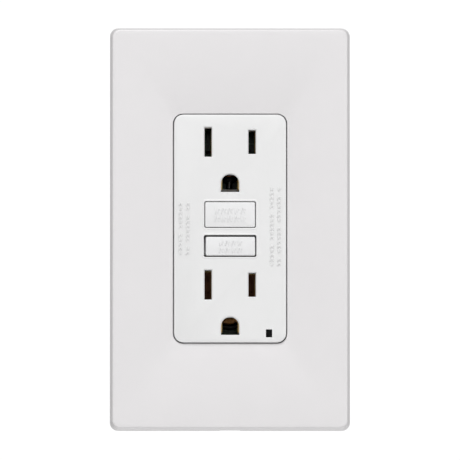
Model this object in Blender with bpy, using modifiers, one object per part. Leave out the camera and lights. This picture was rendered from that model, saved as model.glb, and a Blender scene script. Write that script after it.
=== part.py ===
"""GFCI outlet: a 15 A ground-fault receptacle with a screwless wall plate.

Frame: X to the right, +Y into the wall, Z up. The origin is on the wall plane, at the device's
centre, so everything in front of the wall has a negative Y. Lengths are in metres.
"""
import math

import bmesh
import bpy
from mathutils import Vector

MM = 0.001
GAP = 0.3 * MM  # clearance that neighbouring pieces keep
PAST = 1.0 * MM  # how far a cutter runs past the face that it opens
WELD = 0.001 * MM
CORNER_STEPS = 4
ROUND_STEPS = 24

# Plug pattern: two blades and a ground pin
BLADE_SPACING = 12.7 * MM
SLOT_WIDTH = 2.1 * MM
NEUTRAL_SLOT_HEIGHT = 8.5 * MM
HOT_SLOT_HEIGHT = 6.9 * MM
GROUND_DROP = 11.9 * MM
GROUND_RADIUS = 2.62 * MM
GROUND_FLAT = 2.55 * MM
UPPER_ROW = 25.0 * MM
LOWER_ROW = -16.3 * MM

# Wall plate and the sub-plate that it snaps onto
PLATE_WIDTH = 69.5 * MM
PLATE_END_MARGIN = 5.175 * MM
PLATE_CORNER = 2.4 * MM
PLATE_WALL = 1.7 * MM
PLATE_DRAFT = 0.8 * MM
PLATE_EDGE = 0.6 * MM
SUB_PLATE_THICK = 1.2 * MM
SUB_PLATE_WINDOW_GAP = 0.65 * MM
SNAP_WIDTH = 6.0 * MM
ACCESS_HEIGHT = 6.0 * MM
SNAP_PLACE = 20.0 * MM
PRY_NOTCH_WIDTH = 6.0 * MM

# Face and flange of the front cover
FACE_WIDTH = 32.4 * MM
FACE_HEIGHT = 65.9 * MM
FACE_CORNER = 2.6 * MM
FACE_EDGE = 0.4 * MM
FACE_PROUD = 0.8 * MM
FACE_WALL = 2.0 * MM
COVER_SIDE_WALL = 1.6 * MM
FLANGE_SIDE = 4.6 * MM
FLANGE_END = 1.35 * MM

# Buttons: width, height and middle of each well, and the play round each button
RESET_WELL_HEIGHT = 7.7 * MM
RESET_WELL_WIDTH = 14.9 * MM
RESET_Z = 4.0 * MM
TEST_WELL_HEIGHT = 6.35 * MM
TEST_WELL_WIDTH = 15.2 * MM
TEST_Z = -5.07 * MM
RESET_PLAY = 0.22 * MM
TEST_PLAY = 0.45 * MM
WELL_CORNER = 0.5 * MM
BUTTON_CORNER = 0.4 * MM
BUTTON_EDGE = 0.35 * MM
BUTTON_WALL = 1.3 * MM
BUTTON_LIP = 0.9 * MM
BUTTON_LIP_THICK = 1.0 * MM
TEST_SHIFT_X = 0.1 * MM
TEST_SHIFT_Z = -0.05 * MM
TEST_SUNK = 0.15 * MM
RESET_POP = 1.0 * MM
TEST_PRESS = 1.4 * MM

# Indicator
LAMP_X = 11.24 * MM
LAMP_Z = -30.3 * MM
LAMP_WIDTH = 1.8 * MM
LAMP_HEIGHT = 2.3 * MM

# Mounting strap
STRAP_THICK = 1.3 * MM
STRAP_END = 4.78 * MM
STRAP_EAR_WIDTH = 24.0 * MM
STRAP_CORNER = 2.0 * MM
STRAP_RAIL = 5.5 * MM
STRAP_OVERLAP = 0.8 * MM
BOX_SCREW_OUT = 7.37 * MM
PLATE_SCREW_OUT = 6.75 * MM
BOX_SCREW_RADIUS = 1.75 * MM
BOX_SCREW_HEAD_RADIUS = 3.3 * MM
BOX_SCREW_HEAD_THICK = 1.5 * MM
BOX_SCREW_LENGTH = 19.0 * MM
PLATE_SCREW_RADIUS = 1.7 * MM
PLATE_SCREW_HEAD_RADIUS = 2.9 * MM
PLATE_SCREW_LENGTH = 9.0 * MM
RETAINER_SIDE = 9.0 * MM
RETAINER_THICK = 0.8 * MM
STRAP_SLOT_LENGTH = 7.0 * MM
STRAP_WINDOW_MARGIN = 1.2 * MM
GROUND_SCREW_LENGTH = 7.5 * MM
GROUND_HEAD_RADIUS = 3.4 * MM
GROUND_HEAD_THICK = 2.2 * MM
GROUND_WASHER_THICK = 0.6 * MM
GROUND_HEX_SHARE = 0.85
GROUND_TAB_DEPTH = 9.2 * MM
GROUND_SCREW_Y = 5.5 * MM

# Housings behind the wall
BODY_DEPTH = 27.0 * MM
BODY_HEIGHT_STEP = 0.8 * MM
BODY_CORNER = 2.0 * MM
MIDDLE_BACK = 11.5 * MM
MIDDLE_WALL = 1.5 * MM
MIDDLE_FRONT_WALL = 2.0 * MM
REAR_WALL = 1.8 * MM
COLUMN_RADIUS = 2.6 * MM
COLUMN_INSET = 2.8 * MM
COLUMN_END_INSET = 3.3 * MM
HOUSING_SCREW_RADIUS = 1.25 * MM
HOUSING_SCREW_HEAD_RADIUS = 2.1 * MM
HOUSING_SCREW_HEAD_THICK = 1.5 * MM

# Side terminals
TERMINAL_Z = 22.0 * MM
RECESS_DEPTH = 3.8 * MM
RECESS_HEIGHT = 12.4 * MM
RECESS_WALL = 1.5 * MM
RECESS_BACK_WALL = 2.7 * MM
TERMINAL_THICK = 1.0 * MM
TERMINAL_HEIGHT = 10.4 * MM
STRIP_INSET = 0.1 * MM
CLAMP_HEIGHT = 10.0 * MM
CLAMP_THICK = 1.0 * MM
CLAMP_DEPTH = 8.5 * MM
TERMINAL_SCREW_RADIUS = 1.9 * MM
TERMINAL_HEAD_RADIUS = 3.8 * MM
TERMINAL_HEAD_THICK = 1.8 * MM
TERMINAL_SCREW_LENGTH = 5.4 * MM
WIRE_HOLE_RADIUS = 1.2 * MM
WIRE_HOLE_SPREAD = 3.4 * MM
SCREW_Y = 18.0 * MM

# Contacts
LEAF_THICK = 0.5 * MM
BUS_THICK = 0.8 * MM
BUS_WIDTH = 3.5 * MM
BUS_Y = 9.0 * MM
GRIP_REACH = 0.8 * MM
RIVET_RADIUS = 1.5 * MM
RIVET_Z = 8.2 * MM
ARM_THICK = 0.6 * MM
ARM_WIDTH = 2.9 * MM
ARM_PIVOT_Z = -12.8 * MM
ARM_ROOT = 5.0 * MM
ARM_TIP = 2.0 * MM
RIVET_HEIGHT = 0.7 * MM
GROUND_LEAF_X = 2.3 * MM
GROUND_LEAF_HEIGHT = 3.6 * MM
GROUND_CLIP_DEPTH = 6.0 * MM
GROUND_WING = 1.8 * MM
TAB_WIDTH = 3.0 * MM
LOAD_TAB_OVERLAP = 2.0 * MM
BUS_TAB_SHORT = 3.0 * MM
RIB_THICK = 1.2 * MM
RIB_LOW = -1.0 * MM

# Circuit board and what stands on it
BOARD_THICK = 1.6 * MM
BOARD_LIFT = 1.0 * MM
BOARD_SIDE_GAP = 0.5 * MM
BOARD_POST_RADIUS = 1.2 * MM
BOARD_POST_INSET = 4.5 * MM
SPRING_WIRE = 0.2 * MM
COIL_Z = -20.0 * MM
COIL_CASE_RADIUS = 8.4 * MM
COIL_CASE_WALL = 0.8 * MM
COIL_TUBE_RADIUS = 4.0 * MM
COIL_BORE_RADIUS = 3.4 * MM
CONDUCTOR_THICK = 1.2 * MM
CONDUCTOR_WIDTH = 3.0 * MM
CONDUCTOR_X = 1.4 * MM
BOBBIN_RADIUS = 4.7 * MM
BOBBIN_START = 14.6 * MM
BOBBIN_LENGTH = 11.0 * MM
BOBBIN_FLANGE = 1.0 * MM
BOBBIN_TUBE = 2.6 * MM
PLUNGER_RADIUS = 1.6 * MM
PLUNGER_NOSE_RADIUS = 0.9 * MM
PLUNGER_HEAD_RADIUS = 2.6 * MM
PLUNGER_HEAD_THICK = 0.8 * MM
PLUNGER_SPRING_LENGTH = 3.0 * MM
LATCH_TRAVEL = 2.0 * MM
CARRIAGE_WIDTH = 9.2 * MM
CARRIAGE_THICK = 5.0 * MM
CARRIAGE_LOW = -3.9 * MM
CARRIAGE_HIGH = 9.0 * MM
LATCH_THICK = 0.8 * MM
LATCH_WIDTH = 6.0 * MM
PIN_RADIUS = 0.8 * MM
PIN_FLANGE_RADIUS = 1.5 * MM
CARRIAGE_WALL = 1.0 * MM
WING_HEIGHT = 4.0 * MM
WING_STEP = 0.6 * MM
LATCH_INSET = 2.1 * MM
LATCH_TAIL = 3.5 * MM
LATCH_TAB_DEPTH = 2.0 * MM
KEYHOLE_WIDTH = 2.4 * MM
LATCH_SPRING_WAY = 3.0 * MM
LATCH_SPRING_WIRE = 0.15 * MM
PIN_FLANGE_THICK = 1.0 * MM
PIN_POINT = 0.7 * MM
POST_RADIUS = 1.5 * MM
POST_LENGTH = 1.6 * MM
STEM_RADIUS = 1.2 * MM
LEG_SETBACK = 2.3 * MM
TEST_ARM_WIDTH = 3.2 * MM
TEST_ARM_THICK = 0.4 * MM
TEST_ARM_LENGTH = 10.0 * MM
TEST_ARM_FREE_END = -1.8 * MM
TEST_ARM_ROOT = 1.0 * MM
RESISTOR_X = -1.2 * MM
RESISTOR_DROP = 1.1 * MM
RESISTOR_RADIUS = 1.2 * MM
RESISTOR_BODY = 6.0 * MM
RESISTOR_STANDOFF = 2.0 * MM
LEAD_RADIUS = 0.35 * MM
CHIP_MIDDLE = (-10.0 * MM, 9.0 * MM)
CHIP_SIZE = (5.0 * MM, 1.6 * MM, 4.0 * MM)
CAPACITOR_PLACE = (10.0 * MM, 12.0 * MM)
CAPACITOR_RADIUS = 2.5 * MM
CAPACITOR_HEIGHT = 7.0 * MM
DISC_PLACE = (-9.5 * MM, 16.5 * MM)
DISC_RADIUS = 3.6 * MM
DISC_THICK = 3.0 * MM
DISC_LIFT = 4.4 * MM
DISC_LEAD_SPREAD = 2.5 * MM
LED_HEIGHT = 2.5 * MM
LED_RADIUS = 1.05 * MM
COIL_SOFT = 0.6 * MM

# Screw heads
SLOT_CUT_WIDTH = 0.8 * MM
SLOT_CUT_DEPTH = 0.7 * MM
HEAD_CROWN = 0.5 * MM
BLIND_HOLE_WALL = 0.9 * MM

# Depth stack, from the wall towards the room
STRAP_FRONT = -STRAP_THICK
FLANGE_BACK = STRAP_FRONT - GAP
SUB_BACK = FLANGE_BACK - BOX_SCREW_HEAD_THICK - GAP
FLANGE_FRONT = SUB_BACK + GAP
SUB_FRONT = SUB_BACK - SUB_PLATE_THICK
PLATE_INNER = SUB_FRONT - GAP
PLATE_FRONT = PLATE_INNER - PLATE_WALL
FACE_FRONT = PLATE_FRONT - FACE_PROUD
FACE_INNER = FACE_FRONT + FACE_WALL
TEST_MIDDLE = (TEST_SHIFT_X, TEST_Z + TEST_SHIFT_Z)
BUTTON_BACK = FACE_INNER + RESET_POP + GAP + BUTTON_LIP_THICK

# Depth stack, from the wall into the box
MIDDLE_FRONT = GAP
MIDDLE_INNER = MIDDLE_FRONT + MIDDLE_FRONT_WALL
REAR_FRONT = MIDDLE_BACK + GAP
FLOOR = BODY_DEPTH - REAR_WALL
BOARD_BACK = FLOOR - BOARD_LIFT
BOARD_FRONT = BOARD_BACK - BOARD_THICK
ON_BOARD = BOARD_FRONT - GAP
RIVET_BACK = BUS_Y + BUS_THICK + RIVET_HEIGHT
ARM_FRONT = RIVET_BACK + GAP + RIVET_HEIGHT
ARM_BACK = ARM_FRONT + ARM_THICK
WING_FRONT = ARM_BACK + GAP
CARRIAGE_FRONT = WING_FRONT + WING_STEP
CARRIAGE_BACK = CARRIAGE_FRONT + CARRIAGE_THICK
LATCH_FRONT = CARRIAGE_FRONT + LATCH_INSET
LATCH_BACK = LATCH_FRONT + LATCH_THICK
COIL_FRONT = WING_FRONT + ARM_THICK + GAP

# Outlines that follow from the sizes above
FLANGE_WIDTH = FACE_WIDTH + 2 * FLANGE_SIDE
FLANGE_HEIGHT = FACE_HEIGHT + 2 * FLANGE_END
BODY_WIDTH = FLANGE_WIDTH
BODY_HEIGHT = FLANGE_HEIGHT - 2 * BODY_HEIGHT_STEP
STRAP_WIDTH = FACE_WIDTH - 2 * COVER_SIDE_WALL + STRAP_OVERLAP
WINDOW_HALF = STRAP_WIDTH / 2 - STRAP_RAIL
BOX_SCREW_Z = FLANGE_HEIGHT / 2 + BOX_SCREW_OUT
PLATE_SCREW_Z = BOX_SCREW_Z + PLATE_SCREW_OUT
STRAP_LENGTH = 2 * (PLATE_SCREW_Z + STRAP_END)
PLATE_HEIGHT = STRAP_LENGTH + 2 * PLATE_END_MARGIN
SUB_WIDTH = PLATE_WIDTH - 2 * (PLATE_WALL + PLATE_DRAFT + GAP)
SUB_HEIGHT = PLATE_HEIGHT - 2 * (PLATE_WALL + PLATE_DRAFT + GAP)
BLADE_X = BLADE_SPACING / 2
COLUMN_X = BODY_WIDTH / 2 - COLUMN_INSET
COLUMN_Z = BODY_HEIGHT / 2 - COLUMN_END_INSET
RECESS_FLOOR_X = BODY_WIDTH / 2 - RECESS_DEPTH
RECESS_INNER_X = RECESS_FLOOR_X - RECESS_WALL
TERMINAL_X = RECESS_FLOOR_X + GAP
CLAMP_X = TERMINAL_X + TERMINAL_THICK + GAP
HEAD_X = CLAMP_X + CLAMP_THICK + GAP
RECESS_BACK = BODY_DEPTH - RECESS_BACK_WALL
BOARD_HALF = RECESS_INNER_X - BOARD_SIDE_GAP
SOLENOID_Y = ON_BOARD - BOBBIN_RADIUS
BOARD_POST_X = BOARD_HALF - BOARD_POST_INSET
BOARD_POST_Z = COLUMN_Z - BOARD_POST_INSET
GROUND_SCREW_Z = -FLANGE_HEIGHT / 2 - GROUND_HEAD_RADIUS
GROUND_WAY = 2 * GROUND_RADIUS
LOAD_TAB_FRONT = BUS_Y + BUS_THICK + GAP
LINE_TAB_FRONT = REAR_FRONT + GAP
LINE_TAB_BACK = LINE_TAB_FRONT + BUS_THICK
LEG_X = RECESS_INNER_X - LEG_SETBACK
LATCH_TAB_TOP = CARRIAGE_HIGH + LATCH_TRAVEL + LATCH_THICK + 2 * GAP
LATCH_LOW = RESET_Z - LATCH_TAIL
SPRING_LOW = CARRIAGE_LOW + CARRIAGE_WALL

# Rotations that turn a piece's own +Z to a side
TO_ROOM = (math.pi / 2, 0, 0)
TO_BOX = (-math.pi / 2, 0, 0)
TO_RIGHT = (0, math.pi / 2, 0)
TO_LEFT = (0, -math.pi / 2, 0)
TO_TOP = (0, 0, 0)


def clear_scene():
    """Remove every object of the scene that the script runs in."""
    for item in list(bpy.data.objects):
        bpy.data.objects.remove(item, do_unlink=True)


clear_scene()
parts = bpy.data.collections.new("gfci_outlet")
cutters = bpy.data.collections.new("gfci_outlet_cutters")
bpy.context.scene.collection.children.link(parts)
bpy.context.scene.collection.children.link(cutters)


# Finishes

def finish(name, colour, roughness, metallic=0.0):
    """Return a material with one Principled shader."""
    material = bpy.data.materials.new(name)
    material.use_nodes = True
    shader = material.node_tree.nodes["Principled BSDF"]
    shader.inputs["Base Color"].default_value = (*colour, 1.0)
    shader.inputs["Roughness"].default_value = roughness
    shader.inputs["Metallic"].default_value = metallic
    material.diffuse_color = (*colour, 1.0)
    return material


PLATE_WHITE = finish("plate_white", (0.80, 0.78, 0.79), 0.32)
FACE_WHITE = finish("face_white", (0.82, 0.82, 0.82), 0.30)
BUTTON_WHITE = finish("button_white", (0.82, 0.82, 0.82), 0.34)
SUB_PLATE_WHITE = finish("sub_plate_white", (0.70, 0.70, 0.69), 0.45)
HOUSING_WHITE = finish("housing_white", (0.66, 0.66, 0.65), 0.42)
HOUSING_GREY = finish("housing_grey", (0.09, 0.09, 0.10), 0.45)
ZINC = finish("zinc_steel", (0.62, 0.63, 0.65), 0.30, 1.0)
BRASS = finish("brass", (0.74, 0.55, 0.26), 0.28, 1.0)
NICKEL = finish("nickel", (0.66, 0.65, 0.62), 0.25, 1.0)
COPPER = finish("copper", (0.72, 0.38, 0.24), 0.32, 1.0)
GREEN_STEEL = finish("green_steel", (0.05, 0.30, 0.12), 0.35, 0.8)
SPRING_STEEL = finish("spring_steel", (0.50, 0.50, 0.52), 0.28, 1.0)
FIBRE = finish("fibre", (0.45, 0.33, 0.20), 0.80)
BOARD_GREEN = finish("board_green", (0.02, 0.16, 0.06), 0.40)
DARK_PLASTIC = finish("dark_plastic", (0.02, 0.02, 0.02), 0.35)
SMOKED_LENS = finish("smoked_lens", (0.02, 0.02, 0.02), 0.12)
DISC_BLUE = finish("disc_blue", (0.03, 0.10, 0.38), 0.35)
RESISTOR_TAN = finish("resistor_tan", (0.60, 0.46, 0.28), 0.45)
LED_CLEAR = finish("led_clear", (0.70, 0.75, 0.70), 0.15)


# Shapes

def place(name, data, location, rotation=TO_TOP, material=None):
    """Put a mesh or curve in the model as an object of its own."""
    item = bpy.data.objects.new(name, data)
    item.location = location
    item.rotation_euler = rotation
    parts.objects.link(item)
    if material is not None:
        data.materials.append(material)
    return item


def mesh_from(name, bm):
    """Turn a bmesh into a mesh and free it."""
    bmesh.ops.recalc_face_normals(bm, faces=bm.faces)
    mesh = bpy.data.meshes.new(name)
    bm.to_mesh(mesh)
    bm.free()
    return mesh


def cube_of(x, y, z):
    """Return a bmesh box of the given spans, centred on zero, with its size and its middle."""
    size = Vector((x[1] - x[0], y[1] - y[0], z[1] - z[0]))
    middle = Vector((x[0] + x[1], y[0] + y[1], z[0] + z[1])) / 2
    bm = bmesh.new()
    bmesh.ops.create_cube(bm, size=1.0)
    bmesh.ops.scale(bm, vec=size, verts=bm.verts)
    return bm, size, middle


def box(name, x, y, z, material=None):
    """Add a block that spans the given lowest and highest places."""
    bm, _, middle = cube_of(x, y, z)
    return place(name, mesh_from(name, bm), middle, TO_TOP, material)


def rounded_box(name, x, y, z, corner, material=None, edge=0.0, draft=0.0):
    """Add a block with round corners along Y; its front may be drafted and have a round edge."""
    bm, size, middle = cube_of(x, y, z)
    along = [e for e in bm.edges if abs(e.verts[0].co.y - e.verts[1].co.y) > WELD]
    bmesh.ops.bevel(bm, geom=along, offset=corner, segments=CORNER_STEPS, profile=0.5, affect="EDGES")
    front = [v for v in bm.verts if v.co.y < 0]
    if draft:
        shrink = Vector((1 - 2 * draft / size.x, 1, 1 - 2 * draft / size.z))
        bmesh.ops.scale(bm, vec=shrink, verts=front)
    if edge:
        rim = [e for e in bm.edges if e.verts[0].co.y < 0 and e.verts[1].co.y < 0]
        bmesh.ops.bevel(bm, geom=rim, offset=edge, segments=2, profile=0.5, affect="EDGES")
    return place(name, mesh_from(name, bm), middle, TO_TOP, material)


def centred(middle, width):
    """Return the span of a width round its middle."""
    return (middle - width / 2, middle + width / 2)


def rod(name, radius, start, end, material=None, tip_radius=None, steps=ROUND_STEPS):
    """Add a cylinder or cone from one point to another along an axis of the frame."""
    start = Vector(start)
    along = Vector(end) - start
    bm = bmesh.new()
    bmesh.ops.create_cone(bm, cap_ends=True, segments=steps, radius1=radius,
                          radius2=radius if tip_radius is None else tip_radius, depth=along.length)
    mesh = mesh_from(name, bm)
    mesh.shade_smooth()
    mesh.set_sharp_from_angle(angle=math.radians(40))
    turn = Vector((0, 0, 1)).rotation_difference(along).to_euler()
    return place(name, mesh, start + along / 2, turn, material)


def pin_y(name, radius, place_xz, y, material=None, steps=ROUND_STEPS):
    """Add a cylinder along Y at a place of the X-Z plane."""
    x, z = place_xz
    return rod(name, radius, (x, y[0], z), (x, y[1], z), material, steps=steps)


def pin_x(name, radius, place_yz, x, material=None, steps=ROUND_STEPS):
    """Add a cylinder along X at a place of the Y-Z plane."""
    y, z = place_yz
    return rod(name, radius, (x[0], y, z), (x[1], y, z), material, steps=steps)


def turned(name, profile, location, rotation, material=None, ring=False, steps=ROUND_STEPS):
    """Turn a profile of radius and height pairs, listed from the top down its outer side."""
    mesh = bpy.data.meshes.new(name)
    links = [(i, i + 1) for i in range(len(profile) - 1)]
    if ring:
        links.append((len(profile) - 1, 0))
    mesh.from_pydata([(radius, 0, height) for radius, height in profile], links, [])
    item = place(name, mesh, location, rotation, material)
    screw = item.modifiers.new("turn", "SCREW")
    screw.axis = "Z"
    screw.steps = steps
    screw.render_steps = steps
    screw.use_merge_vertices = True
    screw.merge_threshold = WELD
    screw.use_smooth_shade = True
    return item


def flat_part(name, outline, thickness, location, rotation, material=None):
    """Make a flat piece from a closed outline; the outline's own +Z is turned by the rotation."""
    curve = bpy.data.curves.new(name, "CURVE")
    curve.dimensions = "2D"
    curve.fill_mode = "BOTH"
    curve.extrude = thickness / 2
    spline = curve.splines.new("POLY")
    spline.points.add(len(outline) - 1)
    for point, (across, up) in zip(spline.points, outline):
        point.co = (across, up, 0, 1)
    spline.use_cyclic_u = True
    drawn = place(name + "_outline", curve, location, rotation)
    bpy.context.view_layer.update()
    mesh = bpy.data.meshes.new_from_object(drawn.evaluated_get(bpy.context.evaluated_depsgraph_get()))
    bpy.data.objects.remove(drawn)
    bm = bmesh.new()
    bm.from_mesh(mesh)
    bmesh.ops.remove_doubles(bm, verts=bm.verts, dist=WELD)
    bmesh.ops.recalc_face_normals(bm, faces=bm.faces)
    bm.to_mesh(mesh)
    bm.free()
    mesh.name = name
    mesh.materials.clear()
    return place(name, mesh, location, rotation, material)


def coil(name, radius, wire, turns, length, location, rotation, material):
    """Add a spring that starts at the location and runs along its own +Z."""
    per_turn = 10
    count = turns * per_turn + 1
    curve = bpy.data.curves.new(name, "CURVE")
    curve.dimensions = "3D"
    curve.bevel_depth = wire
    curve.bevel_resolution = 1
    curve.use_fill_caps = True
    spline = curve.splines.new("POLY")
    spline.points.add(count - 1)
    rise = length - 2 * wire
    for index, point in enumerate(spline.points):
        angle = 2 * math.pi * index / per_turn
        height = wire + rise * index / (count - 1)
        point.co = (radius * math.cos(angle), radius * math.sin(angle), height, 1)
    return place(name, curve, location, rotation, material)


def combine(target, tools, operation):
    """Join tools to a piece or cut them out of it, and keep them as guides."""
    for tool in tools:
        change = target.modifiers.new(tool.name, "BOOLEAN")
        change.operation = operation
        change.object = tool
        change.solver = "EXACT"
        if tool.name in parts.objects:
            parts.objects.unlink(tool)
            cutters.objects.link(tool)
            tool.hide_render = True
            tool.display_type = "WIRE"


def join(target, *tools):
    """Make tools part of the piece."""
    combine(target, tools, "UNION")


def cut(target, *tools):
    """Cut tools out of the piece."""
    combine(target, tools, "DIFFERENCE")


def hang(item, name, pivot):
    """Parent a piece to an empty on its joint's axis and leave it where it is."""
    empty = bpy.data.objects.new(name, None)
    empty.location = pivot
    parts.objects.link(empty)
    item.parent = empty
    item.location = item.location - Vector(pivot)


def arc(middle, radius, start, stop, steps):
    """Return points on an arc; angles in degrees."""
    points = []
    for index in range(steps + 1):
        angle = math.radians(start + (stop - start) * index / steps)
        points.append((middle[0] + radius * math.cos(angle), middle[1] + radius * math.sin(angle)))
    return points


# Wall plate and sub-plate

def wall_plate():
    """Thin shell with a drafted rim, snapped over the sub-plate."""
    half = PLATE_HEIGHT / 2
    plate = rounded_box("wall_plate", centred(0, PLATE_WIDTH), (PLATE_FRONT, 0), centred(0, PLATE_HEIGHT),
                        PLATE_CORNER, PLATE_WHITE, PLATE_EDGE, PLATE_DRAFT)
    inner_width = PLATE_WIDTH - 2 * PLATE_WALL
    inner_height = PLATE_HEIGHT - 2 * PLATE_WALL
    hollow = rounded_box("plate_hollow", centred(0, inner_width), (PLATE_INNER, PAST),
                         centred(0, inner_height), PLATE_CORNER / 2, draft=PLATE_DRAFT)
    window = rounded_box("plate_window", centred(0, FACE_WIDTH + 2 * GAP),
                         (PLATE_FRONT - PAST, PLATE_INNER + PAST), centred(0, FACE_HEIGHT + 2 * GAP),
                         FACE_CORNER + GAP)
    pry_notch = box("pry_notch", centred(0, PRY_NOTCH_WIDTH), (-PAST, PAST), (-half - PAST, PAST - half))
    cut(plate, hollow, window, pry_notch)
    for side in (-1, 1):
        for end in (-1, 1):
            outer = end * (half - PLATE_WALL / 2)
            inner = end * (SUB_HEIGHT / 2 - SUB_PLATE_THICK / 2)
            snap = box("plate_snap", centred(side * SNAP_PLACE, SNAP_WIDTH),
                       (PLATE_INNER - PLATE_WALL / 2, -PAST), sorted((outer, inner)))
            join(plate, snap)
    return plate


def sub_plate():
    """Moulded frame screwed to the strap; the wall plate's snaps sit in its notches."""
    plate = rounded_box("sub_plate", centred(0, SUB_WIDTH), (SUB_FRONT, -GAP), centred(0, SUB_HEIGHT),
                        PLATE_CORNER / 2, SUB_PLATE_WHITE)
    hollow = rounded_box("sub_plate_hollow", centred(0, SUB_WIDTH - 2 * SUB_PLATE_THICK), (SUB_BACK, PAST),
                         centred(0, SUB_HEIGHT - 2 * SUB_PLATE_THICK), PLATE_CORNER / 4)
    window = rounded_box("sub_plate_window", centred(0, FACE_WIDTH + 2 * SUB_PLATE_WINDOW_GAP),
                         (SUB_FRONT - PAST, SUB_BACK + PAST),
                         centred(0, FACE_HEIGHT + 2 * SUB_PLATE_WINDOW_GAP), FACE_CORNER + GAP)
    cut(plate, hollow, window)
    for end in (-1, 1):
        spot = (0, end * PLATE_SCREW_Z)
        boss = pin_y("sub_plate_boss", PLATE_SCREW_HEAD_RADIUS, spot,
                     (SUB_BACK - SUB_PLATE_THICK / 2, FLANGE_BACK))
        hole = pin_y("sub_plate_hole", PLATE_SCREW_RADIUS + GAP, spot,
                     (SUB_FRONT - PAST, STRAP_FRONT + PAST))
        join(plate, boss)
        sink = rod("sub_plate_sink", PLATE_SCREW_HEAD_RADIUS + GAP + PAST,
                   (0, SUB_FRONT - PAST, end * PLATE_SCREW_Z), (0, SUB_BACK, end * PLATE_SCREW_Z),
                   tip_radius=PLATE_SCREW_RADIUS + GAP)
        access = box("sub_plate_access", centred(0, 2 * BOX_SCREW_HEAD_RADIUS),
                     (SUB_FRONT - PAST, SUB_BACK + PAST), centred(end * BOX_SCREW_Z, ACCESS_HEIGHT))
        cut(plate, hole, sink, access)
        for side in (-1, 1):
            notch = box("sub_plate_notch", centred(side * SNAP_PLACE, SNAP_WIDTH + 2 * GAP),
                        (SUB_FRONT - PAST, PAST),
                        sorted((end * (SUB_HEIGHT / 2 - SUB_PLATE_THICK / 2 - GAP), end * SUB_HEIGHT)))
            cut(plate, notch)
    return plate


def driver_slot(name, screw, length, across, top, direction):
    """Cut a driver slot into a screw's head; the direction says which way the head faces."""
    spans = {"x": centred(screw.location.x, length), "y": centred(screw.location.y, length),
             "z": centred(screw.location.z, length)}
    axis = direction[1]
    inward = top - SLOT_CUT_DEPTH if direction[0] == "+" else top + SLOT_CUT_DEPTH
    outward = top + PAST if direction[0] == "+" else top - PAST
    spans[axis] = tuple(sorted((inward, outward)))
    middle = getattr(screw.location, across)
    spans[across] = centred(middle, SLOT_CUT_WIDTH)
    cut(screw, box(name, spans["x"], spans["y"], spans["z"]))


def plate_screws():
    """Two flat-head screws that hold the sub-plate to the strap."""
    for name, end in (("top", 1), ("bottom", -1)):
        head = SUB_BACK - SUB_FRONT
        front = SUB_FRONT + GAP / 2
        profile = [(0, 0), (PLATE_SCREW_HEAD_RADIUS, 0), (PLATE_SCREW_RADIUS, -head),
                   (PLATE_SCREW_RADIUS, -PLATE_SCREW_LENGTH), (0, -PLATE_SCREW_LENGTH)]
        screw = turned(f"sub_plate_screw_{name}", profile, (0, front, end * PLATE_SCREW_Z), TO_ROOM, ZINC)
        driver_slot("plate_screw_slot", screw, 3 * PLATE_SCREW_HEAD_RADIUS, "z", front, "-y")


# Front cover, buttons and lamp

def ground_outline():
    """D-shaped hole for the ground pin: an arc over straight sides and a flat bottom."""
    flat = [(-GROUND_RADIUS, -GROUND_FLAT), (GROUND_RADIUS, -GROUND_FLAT)]
    return arc((0, 0), GROUND_RADIUS, 0, 180, 10) + flat


def front_cover():
    """Face with the plug openings and button wells, on a flange that the sub-plate covers."""
    cover = rounded_box("front_cover", centred(0, FACE_WIDTH), (FACE_FRONT, FLANGE_BACK),
                        centred(0, FACE_HEIGHT), FACE_CORNER, FACE_WHITE, FACE_EDGE)
    flange = rounded_box("cover_flange", centred(0, FLANGE_WIDTH), (FLANGE_FRONT, 0),
                         centred(0, FLANGE_HEIGHT), BODY_CORNER)
    join(cover, flange)
    hollow = rounded_box("cover_hollow", centred(0, FACE_WIDTH - 2 * COVER_SIDE_WALL), (FACE_INNER, PAST),
                         centred(0, FACE_HEIGHT - 2 * COVER_SIDE_WALL), FACE_CORNER / 2)
    channel = box("strap_channel", centred(0, STRAP_WIDTH + 2 * GAP), (FLANGE_BACK, PAST),
                  centred(0, FLANGE_HEIGHT + 2 * PAST))
    cut(cover, hollow, channel)
    through = (FACE_FRONT - PAST, FACE_INNER + PAST)
    for row in (UPPER_ROW, LOWER_ROW):
        for side, height in ((-1, NEUTRAL_SLOT_HEIGHT), (1, HOT_SLOT_HEIGHT)):
            cut(cover, box("blade_slot", centred(side * BLADE_X, SLOT_WIDTH), through, centred(row, height)))
        deep = through[1] - through[0]
        cut(cover, flat_part("ground_hole", ground_outline(), deep,
                             (0, through[0] + deep / 2, row - GROUND_DROP), TO_ROOM))
    reset_well = rounded_box("reset_well", centred(0, RESET_WELL_WIDTH), through,
                             centred(RESET_Z, RESET_WELL_HEIGHT), WELL_CORNER)
    test_well = rounded_box("test_well", centred(0, TEST_WELL_WIDTH), through,
                            centred(TEST_Z, TEST_WELL_HEIGHT), WELL_CORNER)
    lamp_window = box("lamp_window", centred(LAMP_X, LAMP_WIDTH), through, centred(LAMP_Z, LAMP_HEIGHT))
    cut(cover, reset_well, test_well, lamp_window)
    for side in (-1, 1):
        for end in (-1, 1):
            spot = (side * COLUMN_X, end * COLUMN_Z)
            hole = pin_y("cover_screw_hole", HOUSING_SCREW_RADIUS + GAP / 2, spot,
                         (FLANGE_FRONT + BLIND_HOLE_WALL, PAST))
            cut(cover, hole)
    return cover


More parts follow.
